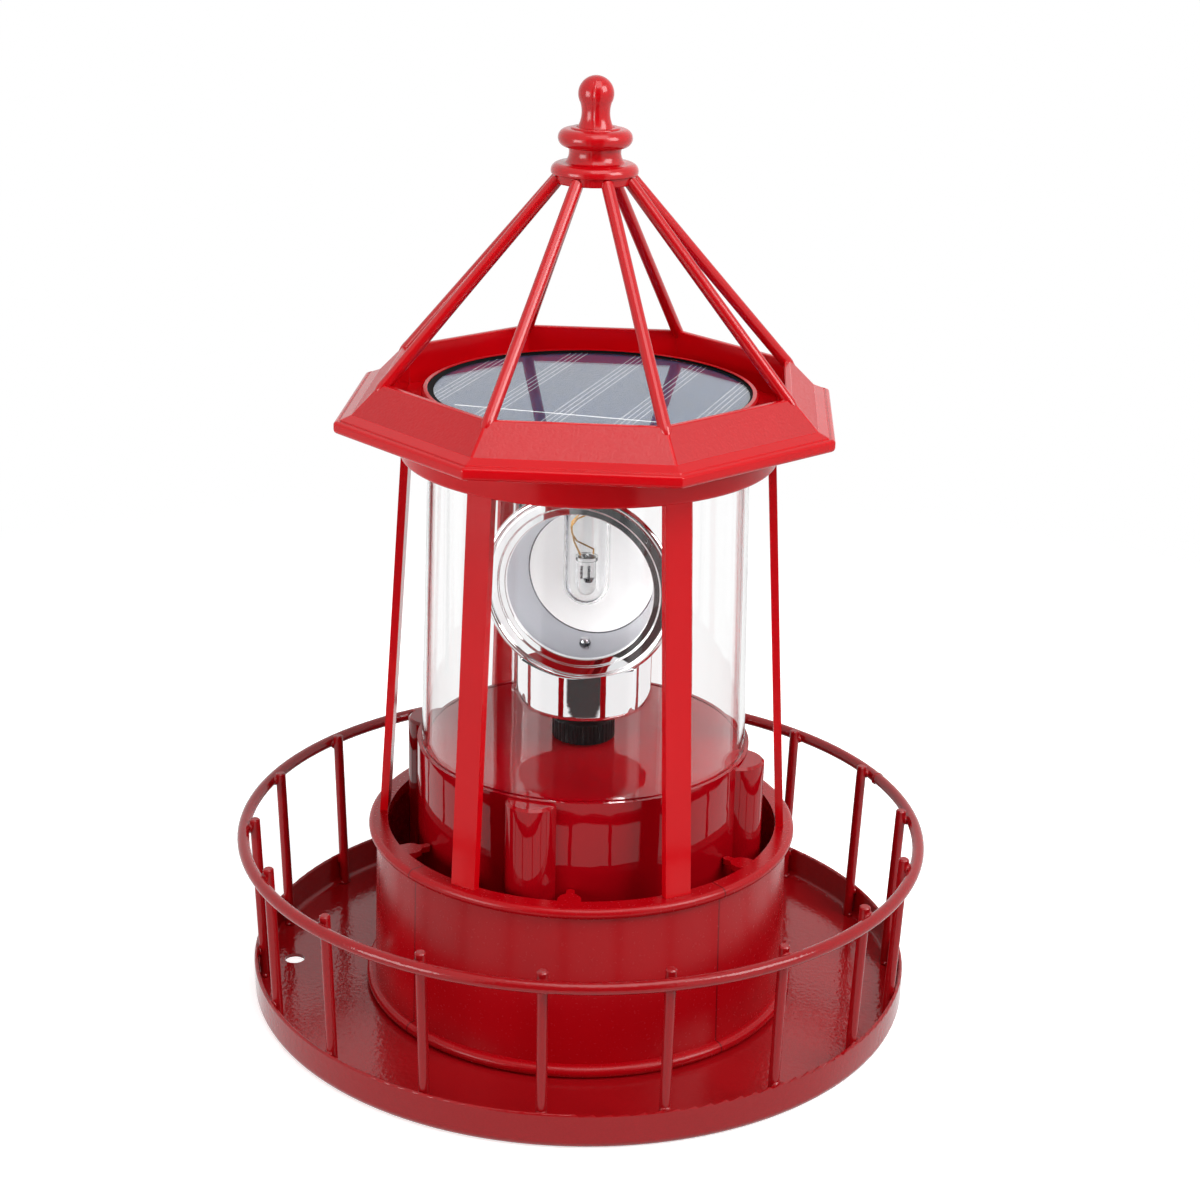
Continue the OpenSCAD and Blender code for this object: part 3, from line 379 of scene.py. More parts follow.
def powderCoat():
    # steel with a brick-red powder coat: it flows round the wire and leaves orange peel, with a
    # fine dust in it that is drawn coarser than it is, to show
    material, tree, shader, place = startMaterial(
        "powder_coated_steel", {"Specular IOR Level": coat["shine"]}
    )
    peel, dust = [
        addNode(
            tree,
            "ShaderNodeTexNoise",
            {"Scale": perMetre(coat[grain]), "Detail": 2.0},
            {"Vector": place},
        )
        for grain in ("peel", "dust")
    ]
    tint = addNode(
        tree,
        "ShaderNodeMix",
        {"data_type": "RGBA", 6: linear(coat["colour"]), 7: linear(coat["shade"])},
        {0: dust.outputs["Fac"]},
    )
    gloss = addNode(
        tree,
        "ShaderNodeMapRange",
        {**grainSpan, "To Min": coat["rough"][0], "To Max": coat["rough"][1]},
        {"Value": dust.outputs["Fac"]},
    )
    bump = addNode(
        tree,
        "ShaderNodeBump",
        {"Distance": coat["peelHeight"] * mm},
        {"Height": peel.outputs["Fac"]},
    )
    fine = addNode(
        tree,
        "ShaderNodeBump",
        {"Distance": coat["dustHeight"] * mm},
        {"Height": dust.outputs["Fac"], "Normal": bump.outputs[0]},
    )
    tree.links.new(tint.outputs[2], shader.inputs["Base Color"])
    tree.links.new(gloss.outputs[0], shader.inputs["Roughness"])
    tree.links.new(fine.outputs[0], shader.inputs["Normal"])
    return material


flowWave = 14  # millimetres from one flow wave of clear plastic to the next


def clearPlastic(name, colour, shadow, ior, rough, ripple):
    # moulded or cast clear plastic: lamps shine through it, and it shows faint flow waves
    material, tree, shader, place = startMaterial(
        name, {"IOR": ior, "Transmission Weight": 1.0, "Base Color": linear(colour)}
    )
    wave = addNode(
        tree, "ShaderNodeTexNoise", {"Scale": perMetre(flowWave), "Detail": 1.0}, {"Vector": place}
    )
    gloss = addNode(
        tree,
        "ShaderNodeMapRange",
        {"To Min": rough, "To Max": rough * 2},
        {"Value": wave.outputs["Fac"]},
    )
    bump = addNode(
        tree, "ShaderNodeBump", {"Distance": ripple * mm}, {"Height": wave.outputs["Fac"]}
    )
    tree.links.new(gloss.outputs[0], shader.inputs["Roughness"])
    tree.links.new(bump.outputs[0], shader.inputs["Normal"])
    path = addNode(tree, "ShaderNodeLightPath")
    through = addNode(tree, "ShaderNodeBsdfTransparent", {"Color": linear(shadow)})
    both = addNode(
        tree,
        "ShaderNodeMixShader",
        {},
        {0: path.outputs["Is Shadow Ray"], 1: shader.outputs[0], 2: through.outputs[0]},
    )
    output = next(n for n in tree.nodes if n.type == "OUTPUT_MATERIAL")
    tree.links.new(both.outputs[0], output.inputs["Surface"])
    return material


def metal(name, colour, rough, grain, height, stretch=(1, 1, 1)):
    # bare or plated metal, with the fine waves or marks of how it was made
    material, tree, shader, place = startMaterial(
        name, {"Metallic": 1.0, "Base Color": linear(colour)}
    )
    lay = addNode(tree, "ShaderNodeMapping", {"Scale": stretch}, {"Vector": place})
    marks = addNode(
        tree,
        "ShaderNodeTexNoise",
        {"Scale": perMetre(grain), "Detail": 3.0},
        {"Vector": lay.outputs[0]},
    )
    gloss = addNode(
        tree,
        "ShaderNodeMapRange",
        {"To Min": rough[0], "To Max": rough[1]},
        {"Value": marks.outputs["Fac"]},
    )
    bump = addNode(
        tree, "ShaderNodeBump", {"Distance": height * mm}, {"Height": marks.outputs["Fac"]}
    )
    tree.links.new(gloss.outputs[0], shader.inputs["Roughness"])
    tree.links.new(bump.outputs[0], shader.inputs["Normal"])
    return material


def plainPlastic(name, colour, shade, rough, grain, height, ior=1.5):
    # small moulded parts, with an even fine grain
    material, tree, shader, place = startMaterial(name, {"IOR": ior})
    skin = addNode(
        tree, "ShaderNodeTexNoise", {"Scale": perMetre(grain), "Detail": 3.0}, {"Vector": place}
    )
    tint = addNode(
        tree,
        "ShaderNodeMix",
        {"data_type": "RGBA", 6: linear(colour), 7: linear(shade)},
        {0: skin.outputs["Fac"]},
    )
    gloss = addNode(
        tree,
        "ShaderNodeMapRange",
        {"To Min": rough[0], "To Max": rough[1]},
        {"Value": skin.outputs["Fac"]},
    )
    bump = addNode(
        tree, "ShaderNodeBump", {"Distance": height * mm}, {"Height": skin.outputs["Fac"]}
    )
    tree.links.new(tint.outputs[2], shader.inputs["Base Color"])
    tree.links.new(gloss.outputs[0], shader.inputs["Roughness"])
    tree.links.new(bump.outputs[0], shader.inputs["Normal"])
    return material


cells = {
    "colour": "#223a58",
    "silver": "#f4f6f8",
    "shine": 0.05,
    "rough": (0.2, 0.24),
    "speckle": 1.5,
    "fingerTurn": -71,
    "fingers": {"pitch": 1.7, "width": 0.3, "offset": 0},
    "groups": {"pitch": 20.4, "width": 6.8, "offset": 0.85},
    "linkTurn": 13.97,
    "link": {"Y": (-28.0, 0.36), "X": (-2.4, 31.9)},  # its middle and half its length, each way
}


def solarCells():
    # blue-black silicon cells under resin: groups of four fine silver fingers lie across them,
    # and one long link runs past their ends
    material, tree, shader, place = startMaterial(
        "silicon_solar_cells", {"Specular IOR Level": cells["shine"]}
    )
    ways = [
        addNode(
            tree,
            "ShaderNodeMapping",
            {"Rotation": (0, 0, math.radians(cells[turn]))},
            {"Vector": place},
        )
        for turn in ("fingerTurn", "linkTurn")
    ]
    across, run = [
        addNode(tree, "ShaderNodeSeparateXYZ", {}, {0: way.outputs[0]}) for way in ways
    ]

    def lines(look):  # 1 on lines of that width and that far apart, in millimetres
        shift = addNode(
            tree,
            "ShaderNodeMath",
            {"operation": "ADD", 1: look["offset"] * mm},
            {0: across.outputs["Y"]},
        )
        spot = addNode(
            tree,
            "ShaderNodeMath",
            {"operation": "PINGPONG", 1: look["pitch"] / 2 * mm},
            {0: shift.outputs[0]},
        )
        return addNode(
            tree,
            "ShaderNodeMath",
            {"operation": "LESS_THAN", 1: look["width"] / 2 * mm},
            {0: spot.outputs[0]},
        )

    fingers = lines(cells["fingers"])
    groups = lines(cells["groups"])
    both = addNode(
        tree,
        "ShaderNodeMath",
        {"operation": "MULTIPLY"},
        {0: fingers.outputs[0], 1: groups.outputs[0]},
    )
    beside, between = [
        addNode(
            tree,
            "ShaderNodeMath",
            {"operation": "COMPARE", 1: middle * mm, 2: reach * mm},
            {0: run.outputs[axis]},
        )
        for axis, (middle, reach) in cells["link"].items()
    ]
    link = addNode(
        tree,
        "ShaderNodeMath",
        {"operation": "MULTIPLY"},
        {0: beside.outputs[0], 1: between.outputs[0]},
    )
    speckle = addNode(
        tree,
        "ShaderNodeTexNoise",
        {"Scale": perMetre(cells["speckle"]), "Detail": 3.0},
        {"Vector": place},
    )
    worn = addNode(
        tree,
        "ShaderNodeMath",
        {"operation": "MULTIPLY"},
        {0: both.outputs[0], 1: speckle.outputs["Fac"]},
    )
    drawn = addNode(
        tree, "ShaderNodeMath", {"operation": "MAXIMUM"}, {0: worn.outputs[0], 1: link.outputs[0]}
    )
    tint = addNode(
        tree,
        "ShaderNodeMix",
        {"data_type": "RGBA", 6: linear(cells["colour"]), 7: linear(cells["silver"])},
        {0: drawn.outputs[0]},
    )
    gloss = addNode(
        tree,
        "ShaderNodeMapRange",
        {"To Min": cells["rough"][0], "To Max": cells["rough"][1]},
        {"Value": speckle.outputs["Fac"]},
    )
    tree.links.new(tint.outputs[2], shader.inputs["Base Color"])
    tree.links.new(gloss.outputs[0], shader.inputs["Roughness"])
    return material


coatedSteel = powderCoat()
# moulded styrene: all but unseen, with slow waves and faint edges
clearWall = clearPlastic("clear_styrene", "#ffffff", "#f0f0f0", 1.4, 0.0, 0.02)
# drawn acrylic tube: bright edges that bend what stands behind it
clearTube = clearPlastic("clear_tube_acrylic", "#ffffff", "#ffffff", 1.5, 0.0, 0.01)
# epoxy cast over the cells: a flat wet gloss, weak enough to see through
castResin = clearPlastic("cast_clear_resin", "#fafafa", "#fafafa", 1.2, 0.0, 0.01)
# water-clear epoxy: a small lens with the lead frame inside it
ledEpoxy = clearPlastic("led_water_clear_epoxy", "#ffffff", "#ffffff", 1.45, 0.0, 0.02)
siliconCells = solarCells()
# plastic plated with chrome in a vacuum: a bright mirror with slight waves
chrome = metal("vacuum_chrome_plate", "#f7f7f8", (0.01, 0.03), 6, 0.02)
# the same plate on a matt throat: a soft grey sheen without pictures in it
satinChrome = metal("satin_chrome_plate", "#c4c6cd", (0.22, 0.26), 5, 0.02)
# the bowl behind the diode, an even matt white: a painted reflection of the light its concave
# mirror gathers
bowlPaintedWhite = plainPlastic("bowl_painted_white", "#ffffff", "#fafafa", (0.4, 0.45), 5, 0.0)
# tinned brass wire: a warm metal, half dull
leadBrass = metal("tinned_brass_wire", "#b98a35", (0.2, 0.35), 0.5, 0.02)
# zinc-plated steel: a cool metal, half dull
screwSteel = metal("zinc_plated_screw", "#c6c8cc", (0.2, 0.35), 0.4, 0.01)
# rolled aluminium, brushed one way: a soft sheen along fine lines
plateAluminium = metal("brushed_aluminium", "#b9bcbf", (0.25, 0.4), 1.0, 0.01, (1, 12, 1))
# moulded acetal: deep black with a weak satin gloss
blackPlastic = plainPlastic("black_acetal", "#060405", "#0b0809", (0.3, 0.42), 0.5, 0.01, 1.35)
# resin that crept up the lip, painted matt black: painted shade for the dark edge that the clear
# resin shows
lipPaintedDark = plainPlastic("lip_fillet_painted_dark", "#040304", "#080607", (0.5, 0.6), 0.5, 0.0, 1.1)
# moulded nylon: a milky cream, half matt
gearPlastic = plainPlastic("natural_nylon", "#e7e1cf", "#ddd5bf", (0.4, 0.5), 0.8, 0.01)
# glass epoxy under green lacquer: a satin green
boardGreen = plainPlastic("glass_epoxy_board", "#1f5a35", "#1a4d2e", (0.35, 0.5), 1.2, 0.01)
# PVC film shrunk on: a smooth green with small wrinkles
batterySleeve = plainPlastic("shrunk_pvc_sleeve", "#2f6f4f", "#2a6447", (0.25, 0.35), 3, 0.03)

# the finish for each slot of the record, and for the three nodes that have one of their own
finishes = {
    "coated_steel": coatedSteel,
    "red_plastic": satinRed,
    "clear_plastic": clearTube,
    "clear_resin": castResin,
    "solar_cells": siliconCells,
    "led_epoxy": ledEpoxy,
    "chrome_plate": chrome,
    "black_plastic": blackPlastic,
    "gear_plastic": gearPlastic,
    "board_green": boardGreen,
    "battery_sleeve": batterySleeve,
    "plate_aluminium": plateAluminium,
    "screw_steel": screwSteel,
    "brass": leadBrass,
}
ownFinish = {"lamp_base": polishedRedPaintedShade, "clear_cylinder": clearWall, "lower_drum": drumRedPaintedShade}

cadSharpAngle = 28  # degrees past which an edge of a CAD node stays sharp
resinGap = 0.03  # a hair of air, as the resin's foot would lie in the board's face


def smoothing():
    # joins the loose triangles of a CAD node and shades them smooth between sharp edges
    tree = bpy.data.node_groups.new("smooth_faces", "GeometryNodeTree")
    tree.interface.new_socket("Geometry", in_out="INPUT", socket_type="NodeSocketGeometry")
    tree.interface.new_socket("Geometry", in_out="OUTPUT", socket_type="NodeSocketGeometry")
    source = addNode(tree, "NodeGroupInput")
    merge = addNode(
        tree, "GeometryNodeMergeByDistance", {"Distance": 1e-6}, {0: source.outputs[0]}
    )
    faces = addNode(
        tree,
        "GeometryNodeSetShadeSmooth",
        {"domain": "FACE", "Shade Smooth": True},
        {0: merge.outputs[0]},
    )
    angle = addNode(tree, "GeometryNodeInputMeshEdgeAngle")
    steep = addNode(
        tree,
        "FunctionNodeCompare",
        {"data_type": "FLOAT", "operation": "GREATER_THAN", 1: math.radians(cadSharpAngle)},
        {0: angle.outputs[0]},
    )
    edges = addNode(
        tree,
        "GeometryNodeSetShadeSmooth",
        {"domain": "EDGE", "Shade Smooth": False},
        {0: faces.outputs[0], "Selection": steep.outputs[0]},
    )
    addNode(tree, "NodeGroupOutput", links={0: edges.outputs[0]})
    return tree


smoothFaces = smoothing()
for part in frame["record"]["subparts"]:
    node = nodes[part["node"]]
    node.data.materials.clear()
    node.data.materials.append(ownFinish.get(part["node"], finishes[part["material_slot"]]))
    node.modifiers.new("smooth", "NODES").node_group = smoothFaces
    if part["node"] == "solar_resin":
        gap = node.modifiers.new("gap", "DISPLACE")
        gap.strength = -resinGap * mm
        gap.mid_level = 0
    flatFaces(node)
print("materials on", len(nodes), "nodes")


roof = {
    "turn": -26,
    "sides": 8,
    "hole": 51.4,
    "holeSteps": 64,
    "floor": (191, 193),
    "overlap": 1,  # how far the floor runs into the wall
    "corner": 0.5,
    "shell": [
        (63.54, 191.0, 0.4),
        (63.54, 205.0, 0.5),
        (65.54, 205.0, 0.7),
        (74.34, 196.4, 0.6),
        (77.6, 195.1, 0.2),
        (77.9, 194.6, 0.2),
        (78.5, 194.85, 0.2),
        (79.74, 194.4, 1.0),
        (79.74, 191.0, 1.4),
        (77.74, 191.0, 0.4),
        (77.74, 192.1, 0.3),
        (73.84, 193.8, 0.5),
        (65.54, 200.6, 0.5),
        (65.54, 191.0, 0.4),
    ],
    "panelTilt": (0.45, 0.9),  # the upward share of a panel's normal, at least and at most
    "panelArea": 100,  # and its least size, in square millimetres
    "ribLow": (64.34, 204.3),
    "ribTop": (11.4, 263.5),
    "ribRadius": 1.9,
    # shares of the radius, and millimetres up from the rib's foot or down from its top
    "ribFoot": [(0, -3.6), (0.5, -3.4), (0.8, -2.6), (1, -1.0), (1.03, 0.3), (1, 1.8)],
    "ribWaist": 0.97,
    "ribEnd": [(1, 2), (0.98, 0), (0, 0)],
    "ribSteps": 24,
}


def roofShell():
    # brim, sloped panels, inner wall and floor, with the panels in the grained finish
    bm = bmesh.new()
    spinLine(bm, rounded(roof["shell"]), roof["sides"], closed=True)
    upright = 0.01  # radians round the axis from one end of a corner's edge to the other
    corners = [
        e for e in bm.edges if abs(e.verts[0].co.xy.angle_signed(e.verts[1].co.xy)) < upright
    ]
    bmesh.ops.bevel(
        bm,
        geom=corners,
        offset=roof["corner"] * mm,
        affect="EDGES",
        segments=2,
        profile=0.5,
        material=-1,
        clamp_overlap=False,
    )
    bmesh.ops.remove_doubles(bm, verts=bm.verts, dist=1e-6)
    floor = bmesh.new()
    bmesh.ops.create_circle(floor, segments=roof["holeSteps"], radius=roof["hole"] * mm)
    outer = bmesh.ops.extrude_edge_only(floor, edges=floor.edges[:])["geom"]
    flat = (roof["shell"][0][0] + roof["overlap"]) * math.cos(math.pi / roof["sides"])
    side = math.radians(360 / roof["sides"])
    for v in [g for g in outer if isinstance(g, bmesh.types.BMVert)]:
        off = (math.atan2(v.co.y, v.co.x) % side) - side / 2
        v.co = v.co.normalized() * (flat * mm / math.cos(off))
    bmesh.ops.recalc_face_normals(floor, faces=floor.faces)
    low, high = roof["floor"]
    bmesh.ops.solidify(floor, geom=floor.faces[:], thickness=(high - low) * mm)
    base = min(v.co.z for v in floor.verts)
    addTo(bm, floor, Matrix.Translation((0, 0, low * mm - base)))
    turn = Matrix.Rotation(math.radians(roof["turn"]), 4, "Z")
    bmesh.ops.transform(bm, matrix=turn, verts=bm.verts)
    piece = finishPiece(bm, "roof_shell", "lantern", satinRed, ["roof_frame"])
    piece.data.materials.append(grainedRed)
    flattest, steepest = roof["panelTilt"]
    for face in piece.data.polygons:
        if flattest < face.normal.z < steepest and face.area > roof["panelArea"] * mm * mm:
            face.material_index = 1


def roofRibs():
    # each rib is a round bar with a foot that swells a little where it leaves the roof's ridge
    bm = bmesh.new()
    r = roof["ribRadius"]
    for k in range(roof["sides"]):
        angle = roof["turn"] + 360 / roof["sides"] * k
        low = onCircle(angle, *roof["ribLow"])
        top = onCircle(angle, *roof["ribTop"])
        reach = (top - low).length / mm
        line = [(r * share, up) for share, up in roof["ribFoot"]]
        line += [(r * roof["ribWaist"], reach * 0.5)]
        line += [(r * share, reach - down) for share, down in roof["ribEnd"]]
        part = bmesh.new()
        spinLine(part, line, roof["ribSteps"])
        addTo(bm, part, along(low, top))
    finishPiece(bm, "roof_ribs", "lantern", glossRed)


# down from the tip; an arc has its middle, its radius, where it starts and ends, and its steps
ballTop = {
    "tip": 293.3,
    "ball": ((0, -5.3), 5.3, 90, -27, 16),
    "neck": ((13.2, -10.6), 9, 158, 211, 12),
    "step": [(5.6, -14.85), (7.0, -14.85), (7.3, -15.0), (7.4, -15.3)],
    "disc": ((8.35, -18), 2.7, 88, -80, 12),
    "waist": ((11.7, -22.2), 4, 160, 228, 10),
    "plate": ((10.6, -27.6), 2.4, 88, -14, 12),
    "edge": [(12.8, -28.35)],
    "foot": [(12.2, -28.4), (12.1, -28.6), (12.1, -30.5), (11.8, -30.9), (0, -30.9)],
    "steps": 96,
    "core": 0.5,  # nearer the axis than this, the ball has no seam
    "seamWidth": 0.02,  # half the seam's width, as a share of the radius
    "seamHeight": 0.16,
    "seamTurn": -4,
    "sharp": 50,
}


def finial():
    # ball, hollow neck, upper disc, hollow waist and lower disc, with the mould's seam
    line = arc(*ballTop["ball"]) + arc(*ballTop["neck"]) + ballTop["step"]
    line += arc(*ballTop["disc"]) + arc(*ballTop["waist"])
    line += arc(*ballTop["plate"]) + ballTop["edge"] + ballTop["foot"]
    bm = bmesh.new()
    spinLine(bm, line, ballTop["steps"])
    for v in bm.verts:
        away = v.co.xy.length
        if away > ballTop["core"] * mm and abs(v.co.x) < ballTop["seamWidth"] * away:
            v.co.xy *= 1 + ballTop["seamHeight"] * mm / away
    turn = Matrix.Rotation(math.radians(ballTop["seamTurn"]), 4, "Z")
    bmesh.ops.transform(bm, matrix=turn, verts=bm.verts)
    bmesh.ops.translate(bm, vec=(0, 0, ballTop["tip"] * mm), verts=bm.verts)
    finishPiece(bm, "finial", "lantern", glossRed, sharp=ballTop["sharp"])


lipFillet = {
    "outer": 49.3,
    "inner": 48.1,
    "shift": 0.5,
    "z": 199.15,
    "rise": 0.6,
    "film": (0.7, 0.15),  # how wide the thin film at its inner edge is, and how thick
    "sunk": 0.2,
    "steps": 128,
}


def paintedLipFillet():
    # the fillet of resin that creeps up the lip, wider at the left, in matt black: painted shade
    # for the dark edge of the clear resin
    bm = bmesh.new()
    inner, outer, z = (lipFillet[k] for k in ("inner", "outer", "z"))
    wide, thick = lipFillet["film"]
    line = [(inner, z), (inner + wide, z + thick)]
    line += [(outer, z + lipFillet["rise"]), (outer, z - lipFillet["sunk"])]
    spinLine(bm, line, lipFillet["steps"], closed=True)
    for v in bm.verts:  # all but its outer edge moves aside
        if v.co.xy.length < (inner + wide + outer) / 2 * mm:
            v.co.x += lipFillet["shift"] * mm
    finishPiece(bm, "panel_lip_painted_dark", "lantern", lipPaintedDark)


roofShell()
roofRibs()
finial()
paintedLipFillet()
print("roof done")


dish = {
    "yaw": -13.7,
    "z": 138.8,
    "wall": 1.4,
    "bowl": (22.0, -0.13),  # radius and middle of the round back
    "bowlInset": 0.5,
    "ledge": ((0.15, 0.3), (20.6, -7.2)),  # a step up from the bowl, and the throat's foot
    "throat": [(20.8, -7.3), (21.3, 0.0), (23.4, 8.4)],
    "flange": [(23.6, 9.7, 0.25), (25.7, 9.7, 0.3), (25.9, 10.25, 0.3), (28.4, 10.2, 0.5)],
    "flangeEnd": [(28.9, 9.9)],
    "hem": ((29.6, 9.7), 1.1, 130, -150, 14),
    "flangeBack": [(28.2, 8.8), (25.2, 8.7), (25.0, 8.3)],
    "wallDrop": 0.2,
    "bowlSteps": 24,
    "steps": 128,
    "hole": 9.5,
    "holeDepth": 40,
    "holeSteps": 64,
    "satinTo": 8,  # the throat is satin up to here, and the bowl under it is painted white, a painted reflection
}


def reflectorDish():
    # a revolved wall: a bowl, a throat that widens, a stepped flange and a hemmed edge
    wall = dish["wall"]
    radius, middle = dish["bowl"]
    bowlSteps = dish["bowlSteps"]
    back = math.degrees(math.asin((dish["throat"][0][1] - middle) / radius))
    front = rounded(dish["throat"] + dish["flange"] + dish["flangeEnd"])
    step, throatFoot = dish["ledge"]
    line = arc((0, middle), radius - dish["bowlInset"], -90, back - 1, bowlSteps)
    line += [(line[-1][0] + step[0], line[-1][1] + step[1]), throatFoot] + front[1:]
    line += arc(*dish["hem"]) + dish["flangeBack"]
    line += [(r + wall, z - dish["wallDrop"]) for r, z in reversed(dish["throat"][:2])]
    line += arc((0, middle), radius + wall, back - 2, -90, bowlSteps)
    bm = bmesh.new()
    spinLine(bm, line, dish["steps"])
    return bm


def dishMatrix():
    # the dish is made up the Z axis, and looks out to the front, a little to the left
    turn = Matrix.Rotation(math.radians(dish["yaw"]), 4, "Z") @ Matrix.Rotation(math.pi / 2, 4, "X")
    return Matrix.Translation((0, 0, dish["z"] * mm)) @ turn


def cutAway(piece, cutter):  # subtracts a helper solid from a piece, and keeps no modifier
    bmesh.ops.recalc_face_normals(cutter, faces=cutter.faces)
    mesh = bpy.data.meshes.new("cutter")
    cutter.to_mesh(mesh)
    cutter.free()
    tool = bpy.data.objects.new("cutter", mesh)
    bpy.context.scene.collection.objects.link(tool)
    cut = piece.modifiers.new("cut", "BOOLEAN")
    cut.operation = "DIFFERENCE"
    cut.solver = "EXACT"
    cut.object = tool
    bpy.context.view_layer.update()
    result = bpy.data.meshes.new_from_object(
        piece.evaluated_get(bpy.context.evaluated_depsgraph_get())
    )
    piece.modifiers.clear()
    piece.data = result
    flatFaces(piece)
    bpy.data.objects.remove(tool)
    result.shade_smooth()
    result.set_sharp_from_angle(angle=math.radians(sharpAngle))


def reflector():
    # the mirror, with the hole in its top for the lamp's tube, and its inside in three finishes,
    # the bowl's white being a painted reflection
    bm = reflectorDish()
    bmesh.ops.recalc_face_normals(bm, faces=bm.faces)
    bmesh.ops.transform(bm, matrix=dishMatrix(), verts=bm.verts)
    piece = finishPiece(
        bm, "reflector_mirror", "reflector", chrome, ["reflector_dish"]
    )
    hole = bmesh.new()
    bmesh.ops.create_cone(
        hole,
        cap_ends=True,
        segments=dish["holeSteps"],
        radius1=dish["hole"] * mm,
        radius2=dish["hole"] * mm,
        depth=dish["holeDepth"] * mm,
        matrix=Matrix.Translation((0, 0, (dish["z"] + dish["holeDepth"] / 2) * mm)),
    )
    cutAway(piece, hole)
    piece.data.materials.append(satinChrome)
    piece.data.materials.append(bowlPaintedWhite)
    back = dishMatrix().inverted()
    for face in piece.data.polygons:
        spot = back @ face.center / mm
        inside = (Vector((0, 0, dish["bowl"][1])) - spot).dot(back.to_3x3() @ face.normal) > 0
        if inside and spot.z < dish["throat"][0][1]:
            face.material_index = 2
        elif inside and spot.z < dish["satinTo"]:
            face.material_index = 1


collar = {
    "section": [(0, 98.8), (21.2, 98.8, 1.2), (21.2, 100.4), (21.2, 118.3)],
    "room": [(0, -30), (22.3, -30), (22.3, -7.3), (22.9, 0), (25.1, 8.2), (30.9, 8.2)],
    "mouth": [(30.9, 11.1), (25.8, 20.6), (25.8, 30), (0, 30)],
}


def reflectorCollar():
    # the cup that carries the reflector: its top is cut to the reflector's outside
    bm = bmesh.new()
    line = rounded(collar["section"]) + [(0, collar["section"][-1][1])]
    spinLine(bm, line, dish["steps"])
    piece = finishPiece(
        bm, "reflector_cup", "reflector", chrome, ["reflector_collar"]
    )
    room = bmesh.new()
    spinLine(room, collar["room"] + collar["mouth"], dish["steps"])
    bmesh.ops.transform(room, matrix=dishMatrix(), verts=room.verts)
    cutAway(piece, room)


hub = {
    "section": [(0, 86.4), (10, 86.4), (10, 92.6, 0.3), (9.7, 92.9), (9.7, 98.9), (0, 98.9)],
    "grooves": 40,
    "depth": 0.22,
    "groovedFrom": 9,
    "groovedTo": 92.7,
    "sharp": 20,
}


def driveHub():
    # the black hub under the cup: two short steps, the lower one with fine upright grooves
    bm = bmesh.new()
    spinLine(bm, rounded(hub["section"]), hub["grooves"] * 4)
    for v in bm.verts:
        away = v.co.xy.length
        if away > hub["groovedFrom"] * mm and v.co.z < hub["groovedTo"] * mm:
            turn = math.atan2(v.co.y, v.co.x) * hub["grooves"]
            v.co.xy *= 1 - hub["depth"] * mm * max(0, math.cos(turn)) / away
    finishPiece(
        bm,
        "grooved_hub",
        "reflector",
        blackPlastic,
        ["drive_hub"],
        sharp=hub["sharp"],
    )


ledFrame = {
    "place": (0.5, 0, 139.2),
    "cup": (1.3, 0.7, 1.4),  # radius at its top and its foot, and height
    "rim": 0.25,
    "sole": 0.2,
    "floor": 0.4,
    "cupSteps": 24,
    "legs": ((0.5, 0), (-1.1, 0)),
    "leg": (0.55, 0.5, 4.2),
    "legRise": 2.0,
}


def ledInside():
    # the lead frame that shows through the clear diode: a cup on one leg, a post beside it
    bm = bmesh.new()
    x, y, z = ledFrame["place"]
    top, low, high = ledFrame["cup"]
    floor = ledFrame["floor"]
    line = [(0, 0), (low, 0), (top, high), (top - ledFrame["rim"], high)]
    line += [(low - ledFrame["sole"], floor), (0, floor)]
    part = bmesh.new()
    spinLine(part, line, ledFrame["cupSteps"])
    addTo(bm, part, Matrix.Translation((x * mm, y * mm, (z - high) * mm)))
    for legX, legY in ledFrame["legs"]:
        part = bmesh.new()
        bmesh.ops.create_cube(part, size=1)
        bmesh.ops.scale(part, vec=[s * mm for s in ledFrame["leg"]], verts=part.verts)
        spot = Vector((legX, legY, z + ledFrame["legRise"])) * mm
        addTo(bm, part, Matrix.Translation(spot))
    finishPiece(bm, "led_frame", "lantern", screwSteel)


reflector()
reflectorCollar()
driveHub()
ledInside()
print("reflector done")


weld = {
    "posts": 18,
    "turn": -5.5,
    # radius and height of the beads at each post, and how far two of them stray in height
    "foot": (103.1, 1.7),
    "rim": (104.75, 10.4),
    "ring": (106.55, 54.4),
    "rimStray": (-0.6, 0.6),
    "ringStray": (-0.5, 0.6),
    # their sizes: half the length round the ring, half the depth, half the height
    "footSize": (2.3, 1.6, 1.0),
    "rimSize": (2.0, 0.9, 1.7),
    "ringSize": (2.2, 1.2, 1.7),
    "butt": (111.8, 108.6, 54.4),  # the joint of the ring: angle, radius and height
    "buttSize": (1.6, 2.3, 2.3),
    "buttSeed": 99,
    "seedStep": 30,
    "lump": 0.28,
    "grain": 1.3,
    "apart": (7.1, 3.3, 0),  # how far apart two seeds lie in the noise
    "sharp": 60,
}


def weldBead(bm, place, size, seed):
    # a lump of weld under the paint, a few millimetres long
    part = bmesh.new()
    bmesh.ops.create_icosphere(part, subdivisions=2, radius=1)
    for v in part.verts:
        lump = noise.noise(v.co * weld["grain"] + Vector([seed * a for a in weld["apart"]]))
        v.co *= 1 + weld["lump"] * lump
    bmesh.ops.scale(part, vec=[s * mm for s in size], verts=part.verts)
    addTo(bm, part, place)


